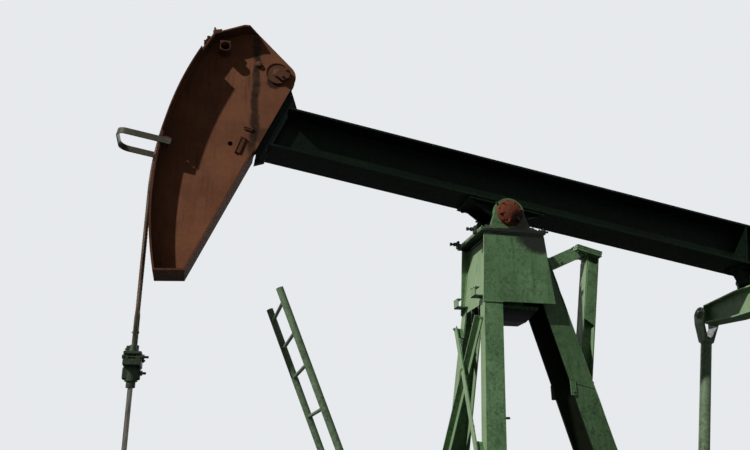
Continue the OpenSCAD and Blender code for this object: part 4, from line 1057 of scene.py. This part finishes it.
def beam_details():
    """Root fillets, bolts and seams of the walking beam."""
    s = Solid(BEAM)
    half = 0.005
    for side in (-1, 1):
        for w0, up in ((0.111, 1), (0.414, -1)):
            ring = []
            for k in range(5):
                t = math.radians(90 * k / 4)
                ring.append((half + 0.020 - 0.020 * math.sin(t), w0 + up * (0.020 - 0.020 * math.cos(t))))
            ring.append((half - 0.001, w0 - up * 0.001))
            part = bmesh.new()
            head = -1.80 if up > 0 else -1.715
            near = [part.verts.new((head, side * y, w)) for y, w in ring]
            far = [part.verts.new((2.397, side * y, w)) for y, w in ring]
            part.faces.new(near)
            part.faces.new(list(reversed(far)))
            for i in range(len(ring)):
                j = (i + 1) % len(ring)
                part.faces.new((near[j], near[i], far[i], far[j]))
            s._into(part)
    for u in (-0.26, -0.12, 0.12, 0.26):
        for side in (-1, 1):
            s.bolt((u, side * 0.122, 0.075), (0, 0, -1), 0.015)
            s.bolt((u, side * 0.122, 0.111), (0, 0, 1), 0.015, stud=True)
    for u in (2.17 - 0.12, 2.17 + 0.12):
        for side in (-1, 1):
            s.bolt((u, side * 0.080, 0.075), (0, 0, -1), 0.013)
            s.bolt((u, side * 0.080, 0.111), (0, 0, 1), 0.013, stud=True)
    for u in (2.04, 2.288):
        for side in (-1, 1):
            s.bead([(u - 0.001, side * 0.006, 0.112), (u - 0.001, side * 0.006, 0.412)], 0.004)
            s.bead([(u - 0.001, side * 0.01, 0.112), (u - 0.001, side * 0.148, 0.112)], 0.004)
    s.bead([(-1.815, y, 0.100) for y in (-0.055, 0.0, 0.055)], 0.005)
    for side in (-1, 1):
        s.bead([(-1.74, side * 0.021, 0.434), (-1.645, side * 0.021, 0.434)], 0.005)
        s.bead([(-1.824, side * 0.021, 0.10), (-1.775, side * 0.021, 0.27),
                (-1.730, side * 0.021, 0.425)], 0.005)
        s.bead([(-0.26, side * 0.107, 0.073), (0.26, side * 0.107, 0.073)], 0.004)
        s.bead([(2.06, side * 0.062, 0.073), (2.28, side * 0.062, 0.073)], 0.004)
    s.make("beam_details", "beam", BEAM_SHADE_GREEN)


FORK_DROP = 0.194
FORK_HALF = 0.074


def tail_details():
    """Bolted covers, fork pins and seams of the equalizer and the pitmans."""
    hung = Matrix.Translation(TAIL_AT) @ Matrix.Rotation(PITMAN_LEAN, 4, "Y")
    s = Solid(hung)
    for side in (-1, 1):
        s.turned([(0.0, 0.030), (0.012, 0.030), (0.016, 0.024)], (0, side * 0.106, 0), (0, side, 0), 24)
        s.rod((0, side * 0.118, 0), (0, side * 0.132, 0), 0.012, sides=6)
        s.bead([(-0.048, side * 0.090, -0.078), (0.048, side * 0.090, -0.078)], 0.005)
        for x in (-0.007, 0.007):
            s.bead([(x, side * 0.12, -0.089), (x, side * 0.480, -0.119)], 0.004)
            s.bead([(x, side * 0.12, -0.288), (x, side * 0.480, -0.257)], 0.004)
        for x in (-0.030, 0.030):
            s.bolt((x, side * 0.495, -0.128), (0, side, 0), 0.009)
            s.bolt((x, side * 0.495, -0.248), (0, side, 0), 0.009)
    s.make("equalizer_details", "linkage", GREEN)
    for side, label in ((-1, "near"), (1, "far")):
        s = Solid(hung @ Matrix.Translation((0, side * PITMAN_Y, -FORK_DROP)))
        low = -(2.05 - FORK_DROP)
        for end in (-1, 1):
            way = (end, 0, 0)
            s.turned([(0.0, 0.036), (0.006, 0.036), (0.008, 0.033)], (end * FORK_HALF, 0, 0), way, 28)
            s.rod((end * 0.082, 0, 0), (end * 0.101, 0, 0), 0.031, sides=6, bevel=0.002)
            s.rod((end * 0.100, 0, 0), (end * 0.108, 0, 0), 0.018, sides=20, bevel=0.003)
            s.rod((end * 0.102, -0.028, 0.004), (end * 0.102, 0.028, -0.004), 0.003, sides=8)
            s.bolt((end * FORK_HALF, 0.0, 0.054), way, 0.008, washer=False)
        ring = [(0.045 * math.cos(k * math.pi / 12),
                 0.045 * math.sin(k * math.pi / 12)) for k in range(25)]
        s.bead([(x, y, -0.231) for x, y in ring], 0.006)
        s.bead([(x, y, low + 0.077) for x, y in ring], 0.006)
        base = Vector((0, side * 0.050, low))
        out = (0, side, 0)
        s.turned([(0.0, 0.083), (0.008, 0.083), (0.012, 0.079), (0.014, 0.060), (0.022, 0.056)], base,
                 out, 40)
        for p in ring_of(base + Vector((0, side * 0.011, 0)), 0.070, 6, 15):
            s.bolt(p, out, 0.010)
        s.turned([(0.0, 0.052), (0.020, 0.052), (0.024, 0.046)], (0, side * 0.068, low), out, 6)
        s.rod((0, side * 0.078, low), (0, side * 0.098, low), 0.026, sides=24, bevel=0.004)
        s.rod((-0.045, side * 0.088, low), (0.045, side * 0.088, low), 0.004, sides=8)
        s.rod((-0.092, 0, low + 0.028), (-0.076, 0, low + 0.024), 0.006, sides=10)
        s.make("pitman_details_" + label, "linkage", PALE_GREEN)


LADDER_TOP = Vector((-1.685, 0.0, 2.820))
LADDER_WAY = Vector((-0.398, 0.0, 1.0)).normalized()
LADDER_HALF = 0.307
LADDER_FOOT_Z = 0.285
LOW_RUNGS = tuple(0.803 + 0.301 * k for k in range(7))


def ladder_details():
    """Rung welds, closed rail ends and the bolted foot channel of the ladder."""
    s = Solid()
    length = (LADDER_TOP.z - LADDER_FOOT_Z) / LADDER_WAY.z
    foot_x = LADDER_TOP.x + 0.398 * (LADDER_TOP.z - LADDER_FOOT_Z)
    across = Vector((0, 1, 0))
    square = LADDER_WAY.cross(across)
    for side in (-1, 1):
        rail = LADDER_TOP + across * side * LADDER_HALF
        s.turned([(0.0, 0.0215), (0.0015, 0.0215), (0.002, 0.018)], rail - LADDER_WAY * 0.0005,
                 LADDER_WAY, 24)
        for drop in (0.084, 0.297, 0.514) + LOW_RUNGS:
            if drop > length - 0.1:
                continue
            at = rail - LADDER_WAY * drop - across * side * 0.023
            s.bead([at + (square * math.cos(a * math.pi / 4)
                          + LADDER_WAY * math.sin(a * math.pi / 4)) * 0.0135
                    for a in range(9)], 0.003)
        foot = Vector((foot_x, side * LADDER_HALF, LADDER_FOOT_Z))
        s.bead([foot + Vector((0.030 * math.cos(a * math.pi / 6), 0.027 * math.sin(a * math.pi / 6),
                               0.001))
                for a in range(13)], 0.004)
        for dx in (-0.038, 0.038):
            s.bolt((foot_x + dx, side * 0.560, LADDER_FOOT_Z), (0, 0, 1), 0.010, stud=True)
            s.bolt((foot_x + dx, side * 0.600, LADDER_FOOT_Z), (0, 0, 1), 0.010, stud=True)
    s.make("ladder_details", "frame", PALE_GREEN)


# Drive: gearbox, guard, brake, motor, cranks and skid

GEAR_FOOT = 1.155
GEAR_SPLIT = 1.4
STAND_TOP = 1.13
CROSS_TOP = 0.22


def gearbox_details():
    """Flange bolts, bearing covers, ribs, lid, breather, plugs and lifting eyes."""
    s = Solid()
    for side in (-1, 1):
        for k in range(11):
            x = 1.965 + 0.112 * k
            if abs(x - CRANK_AT.x) < 0.145 or abs(x - SHAFT_IN.x) < 0.090:
                continue
            s.bolt((x, side * 0.199, GEAR_SPLIT + 0.015), (0, 0, 1), 0.010, stud=True)
            s.bolt((x, side * 0.199, GEAR_SPLIT - 0.015), (0, 0, -1), 0.010)
        for k in range(6):
            s.bolt((1.965 + 0.213 * k, side * 0.206, GEAR_FOOT), (0, 0, 1), 0.011, stud=True)
        out = Vector((0, side, 0))
        big = CRANK_AT + out * 0.215
        s.tube(big - out * 0.002, big + out * 0.018, 0.112, 0.064, 48)
        for p in ring_of(big + out * 0.018, 0.096, 8, 22.5):
            s.bolt(p, out, 0.009)
        small = SHAFT_IN + out * 0.215
        s.tube(small - out * 0.002, small + out * 0.012, 0.066, 0.036, 40)
        for p in ring_of(small + out * 0.012, 0.056, 6):
            s.bolt(p, out, 0.006, head=0.005)
        for x in (2.03, 2.40, 2.59, 2.76, 3.04):
            s.block(side, (x - 0.007, 0.188, GEAR_FOOT - 0.002), (x + 0.007, 0.207, GEAR_SPLIT - 0.014))
        s.bead([(1.93 + 0.19 * k, side * 0.191, GEAR_FOOT + 0.001) for k in range(7)], 0.004)
    slope = math.atan2(0.093, 0.68)
    lid = Matrix.Translation((2.60, 0.0, 1.616)) @ Matrix.Rotation(slope, 4, "Y")
    s.box((-0.190, -0.135, -0.004), (0.190, 0.135, 0.006), 0.002, lid)
    s.box((-0.170, -0.118, 0.006), (0.170, 0.118, 0.016), 0.003, lid)
    for x in (-0.178, -0.06, 0.06, 0.178):
        for y in (-0.126, 0.126):
            s.bolt(lid @ Vector((x, y, 0.006)), (0, 0, 1), 0.007)
    s.turned([(0.0, 0.016), (0.050, 0.016), (0.052, 0.030), (0.085, 0.030), (0.095, 0.022)],
             lid @ Vector((0.08, 0, 0.014)),
             (0, 0, 1), 24)
    for x, z in ((2.16, 1.655), (2.98, 1.556)):
        for y in (-0.08, 0.08):
            s.plate([(x - 0.035, z - 0.02), (x + 0.035, z - 0.02), (x + 0.018, z + 0.060),
                     (x - 0.018, z + 0.060)],
                    y - 0.007, y + 0.007, 0.003)
    for z in (1.20, 1.29):
        s.rod((1.956, 0.10, z), (1.930, 0.10, z), 0.017, sides=6, bevel=0.002)
    s.tube((1.956, -0.06, 1.30), (1.938, -0.06, 1.30), 0.034, 0.022, 28)
    s.rod((1.956, -0.06, 1.30), (1.944, -0.06, 1.30), 0.0225, sides=24)
    s.make("gearbox_details", "frame", MACHINE_GREEN)


def stand_details():
    """Foot plates, seams and bolts of the gearbox stand."""
    s = Solid()
    for x in (1.989, 2.499, 3.009):
        for side in (-1, 1):
            y = side * 0.155
            s.box((x - 0.092, y - 0.092, CROSS_TOP), (x + 0.092, y + 0.092, CROSS_TOP + 0.014), 0.002)
            for dx in (-0.080, 0.080):
                for dy in (-0.080, 0.080):
                    s.bolt((x + dx, y + dy, CROSS_TOP + 0.014), (0, 0, 1), 0.009, stud=True)
            square = [(x - 0.071, y - 0.071), (x + 0.071, y - 0.071), (x + 0.071, y + 0.071),
                      (x - 0.071, y + 0.071),
                      (x - 0.071, y - 0.071)]
            s.bead([(a, b, CROSS_TOP + 0.015) for a, b in square], 0.004)
            s.bead([(a, b, STAND_TOP - 0.026) for a, b in square], 0.004)
    for x in (1.94, 3.06):
        for side in (-1, 1):
            s.bolt((x, side * 0.205, STAND_TOP - 0.025), (0, 0, -1), 0.012)
    s.make("stand_details", "frame", MACHINE_GREEN)


def guard_path(grow):
    """The belt guard's outline round both pulleys, as points in x and z."""
    p = Vector((SHAFT_IN.x, SHAFT_IN.z))
    q = Vector((MOTOR_AT.x, MOTOR_AT.z))
    big = 0.370 + grow
    small = 0.140 + grow
    way = (q - p).normalized()
    base = math.atan2(way.y, way.x)
    swing = math.acos((big - small) / (q - p).length)
    points = []
    for k in range(49):
        a = base + swing + (2 * math.pi - 2 * swing) * k / 48
        points.append((p.x + big * math.cos(a), p.y + big * math.sin(a)))
    for k in range(25):
        a = base - swing + 2 * swing * k / 24
        points.append((q.x + small * math.cos(a), q.y + small * math.sin(a)))
    return points


def belt_guard_details():
    """Rolled rims, pressed ribs, clips and brackets of the belt guard."""
    s = Solid()
    rim = guard_path(0.001)
    for y in (0.238, 0.332):
        s.sweep([(x, y, z) for x, z in rim + rim[:2]], 0.007, 8)
    inner = guard_path(-0.030)
    s.sweep([(x, 0.336, z) for x, z in inner + inner[:2]], 0.006, 8)
    s.sweep(ring_of(SHAFT_IN + Vector((0, 0.336, 0)), 0.24, 48, extra=2), 0.007, 8)
    s.turned([(0.0, 0.075), (0.004, 0.075), (0.006, 0.060)], (SHAFT_IN.x, 0.334, SHAFT_IN.z), (0, 1, 0),
             40)
    s.turned([(0.0, 0.055), (0.004, 0.055), (0.006, 0.042)], (MOTOR_AT.x, 0.334, MOTOR_AT.z), (0, 1, 0),
             32)
    way = (Vector((MOTOR_AT.x, 0, MOTOR_AT.z)) - Vector((SHAFT_IN.x, 0, SHAFT_IN.z))).normalized()
    off = Vector((-way.z, 0, way.x))
    for k in (-1.5, -0.5, 0.5, 1.5):
        start = Vector((SHAFT_IN.x, 0.336, SHAFT_IN.z)) + way * 0.40 + off * 0.075 * k
        s.sweep([start + way * (0.030 * j) for j in range(13)], [0.001] + [0.007] * 11 + [0.001], 8)
    for k in range(0, 74, 6):
        x, z = guard_path(-0.016)[k]
        s.bolt((x, 0.334, z), (0, 1, 0), 0.007, head=0.005)
    for x, z in ((3.30, 1.20), (3.55, 0.53), (2.62, 1.32)):
        s.box((x - 0.020, 0.205, z - 0.020), (x + 0.020, 0.240, z + 0.020), 0.003)
    s.make("belt_guard_details", "frame", MACHINE_GREEN)


def brake_details():
    """Lined band, hub, pull pin and grip of the brake."""
    s = Solid(Matrix.Translation(SHAFT_IN))
    s.tube((0, -0.305, 0), (0, -0.255, 0), 0.177, 0.169, 56)
    s.turned([(0.0, 0.085), (0.005, 0.085), (0.008, 0.070), (0.011, 0.040)],
             (0, -0.324, 0), (0, -1, 0), 40)
    for p in ring_of((0, -0.325, 0), 0.125, 6):
        s.bolt(p, (0, -1, 0), 0.008, head=0.006)
    for dz in (-0.030, 0.030):
        s.box((0.165, -0.300, dz - 0.007), (0.215, -0.260, dz + 0.007))
    s.rod((0.198, -0.280, -0.060), (0.198, -0.280, 0.060), 0.008, sides=12)
    s.rod((0.198, -0.280, 0.037), (0.198, -0.280, 0.050), 0.015, sides=6)
    grip = Vector((4.236, -0.270, 0.906)) - SHAFT_IN
    way = Vector((4.25 - 3.069, 0.0, 0.9 - 1.42)).normalized()
    s.sweep([grip - way * 0.130 + way * 0.013 * k for k in range(11)],
            [0.016] + [0.021, 0.0195] * 4 + [0.021, 0.016], 14)
    s.make("brake_details", "frame", DARK_GREEN)
    s = Solid(Matrix.Translation(SHAFT_IN))
    s.tube((0, -0.304, 0), (0, -0.256, 0), 0.1695, 0.1665, 56)
    s.make("brake_lining", "frame", RUBBER)


def motor_details():
    """Cooling fins, end bells, fan cowl, terminal box and eye bolt of the motor."""
    s = Solid(Matrix.Translation(MOTOR_AT))
    for k in range(36):
        a = 10.0 * k
        if 135 < a < 225:
            continue
        turn = Matrix.Rotation(math.radians(a), 4, "Y")
        s.box((-0.0022, -0.205, 0.146), (0.0022, 0.155, 0.166), 0.0, turn)
    s.turned([(0.0, 0.153), (0.012, 0.153), (0.020, 0.140), (0.026, 0.090), (0.040, 0.070),
              (0.046, 0.030)],
             (0, 0.172, 0), (0, 1, 0), 56)
    s.turned([(0.0, 0.153), (0.012, 0.153), (0.018, 0.126)], (0, -0.222, 0), (0, -1, 0), 56)
    for k in range(5):
        r = 0.024 + 0.021 * k
        s.tube((0, -0.298, 0), (0, -0.304, 0), r, r - 0.005, 48)
    for k in range(4):
        turn = Matrix.Rotation(math.radians(45 + 90 * k), 4, "Y")
        s.box((-0.003, -0.304, 0.018), (0.003, -0.298, 0.108), 0.0, turn)
    for p in ring_of((0, 0.184, 0), 0.138, 4, 45):
        s.bolt(p, (0, 1, 0), 0.008)
    s.box((0.120, -0.095, -0.020), (0.225, 0.045, 0.085), 0.006)
    s.box((0.223, -0.102, -0.027), (0.232, 0.052, 0.092), 0.003)
    for y in (-0.090, 0.040):
        for z in (-0.015, 0.080):
            s.bolt((0.232, y, z), (1, 0, 0), 0.006, washer=False)
    s.rod((0.170, -0.025, -0.018), (0.170, -0.025, -0.052), 0.016, sides=6)
    ring = [(0, -0.02 + 0.022 * math.cos(k * math.pi / 8), 0.188 + 0.022 * math.sin(k * math.pi / 8))
            for k in range(18)]
    s.sweep(ring, 0.006, 8)
    s.rod((0, -0.02, 0.145), (0, -0.02, 0.170), 0.012, sides=16)
    base = 0.470 - MOTOR_AT.z
    for x in (-0.180, 0.180):
        s.box((x - 0.035, -0.160, base), (x + 0.035, 0.110, base + 0.022), 0.003)
        for y in (-0.130, 0.080):
            s.bolt((x, y, base + 0.022), (0, 0, 1), 0.011, stud=True)
    for y in (-0.140, 0.090):
        s.rod((0.215, y, base + 0.012), (0.330, y, base + 0.012), 0.008, sides=12, bevel=0.001)
        s.rod((0.262, y, base + 0.012), (0.276, y, base + 0.012), 0.015, sides=6)
        s.box((0.248, y - 0.020, base - 0.004), (0.260, y + 0.020, base + 0.034), 0.002)
    for x in (-0.190, 0.190):
        for y in (-0.235, 0.185):
            s.bolt((x, y, base), (0, 0, 1), 0.012, stud=True)
    s.make("motor_details", "frame", MACHINE_GREEN)


def crank_details():
    """Hub rims, keys, stroke holes and edge ribs of the cranks, and the weights' bolts."""
    for side, label in ((-1, "near"), (1, "far")):
        s = Solid(CRANK)
        out = Vector((0, side, 0))
        face = 0.438
        s.turned([(0.0, 0.128), (0.006, 0.124), (0.007, 0.100)], (0, side * 0.459, 0), out, 48)
        s.tube((0, side * 0.460, 0), (0, side * 0.468, 0), 0.082, 0.062, 40)
        s.block(side, (0.050, 0.440, -0.011), (0.078, 0.469, 0.011), 0.001)
        s.bead(ring_of((0, side * (face + 0.002), 0), 0.131, 32, extra=1), 0.004)
        for x in (0.270, 0.415):
            s.tube((x, side * (face - 0.001), 0), (x, side * (face + 0.004), 0), 0.050, 0.038, 36)
        for z in (-0.086, 0.086):
            s.block(side, (0.150, face, z - 0.010), (0.940, face + 0.004, z + 0.010), 0.001)
        for z in (-1, 1):
            for x in (0.475, 0.760):
                s.bolt((x, side * 0.439, z * 0.150), out, 0.018, head=0.010)
            rim = [(0.6 + 0.331 * math.cos(math.radians(a)), side * 0.394,
                    z * (0.1 + 0.331 * math.sin(math.radians(a))))
                   for a in range(4, 177, 6)]
            s.sweep(rim, 0.010, 8)
        s.make("crank_details_" + label, "crank", MACHINE_GREEN)


def skid_details():
    """Seams, stiffeners and lifting pins of the skid."""
    s = Solid()
    crossings = (-1.150, -0.575, 0.0, 0.528, 1.055, 1.487, 1.969, 2.499, 3.029, 3.579, 3.979, 4.350)
    for side in (-1, 1):
        for x in crossings:
            web = side * (SKID_Y - 0.0055)
            for dx in (-0.005, 0.005):
                s.bead([(x + dx, web, 0.032), (x + dx, web, 0.208)], 0.004)
            s.bead([(x - 0.050, web, 0.221), (x + 0.050, web, 0.221)], 0.004)
            s.block(side, (x - 0.005, 0.584, 0.0125), (x + 0.005, 0.650, 0.2275), 0.001)
            s.bead([(x + 0.006, side * 0.650, 0.014), (x + 0.006, side * 0.586, 0.014),
                    (x + 0.006, side * 0.586, 0.226)], 0.003)
        for x in (-0.860, 4.060):
            s.rod((x, side * 0.583, 0.120), (x, side * 0.650, 0.120), 0.036, sides=28, bevel=0.003)
            s.bead(ring_of((x, side * 0.587, 0.120), 0.038, 16, extra=1), 0.004)
    s.make("skid_details", "frame", GREEN)


horsehead_welds()
horsehead_pin()
horsehead_fittings()
rope_sockets()
ropes()
carrier()
rod_sleeve()
bearing_covers()
saddle_details()
head_box_details()
leg_details()
rear_leg_details()
beam_rest()
beam_details()
tail_details()
ladder_details()
gearbox_details()
stand_details()
belt_guard_details()
brake_details()
motor_details()
crank_details()
skid_details()
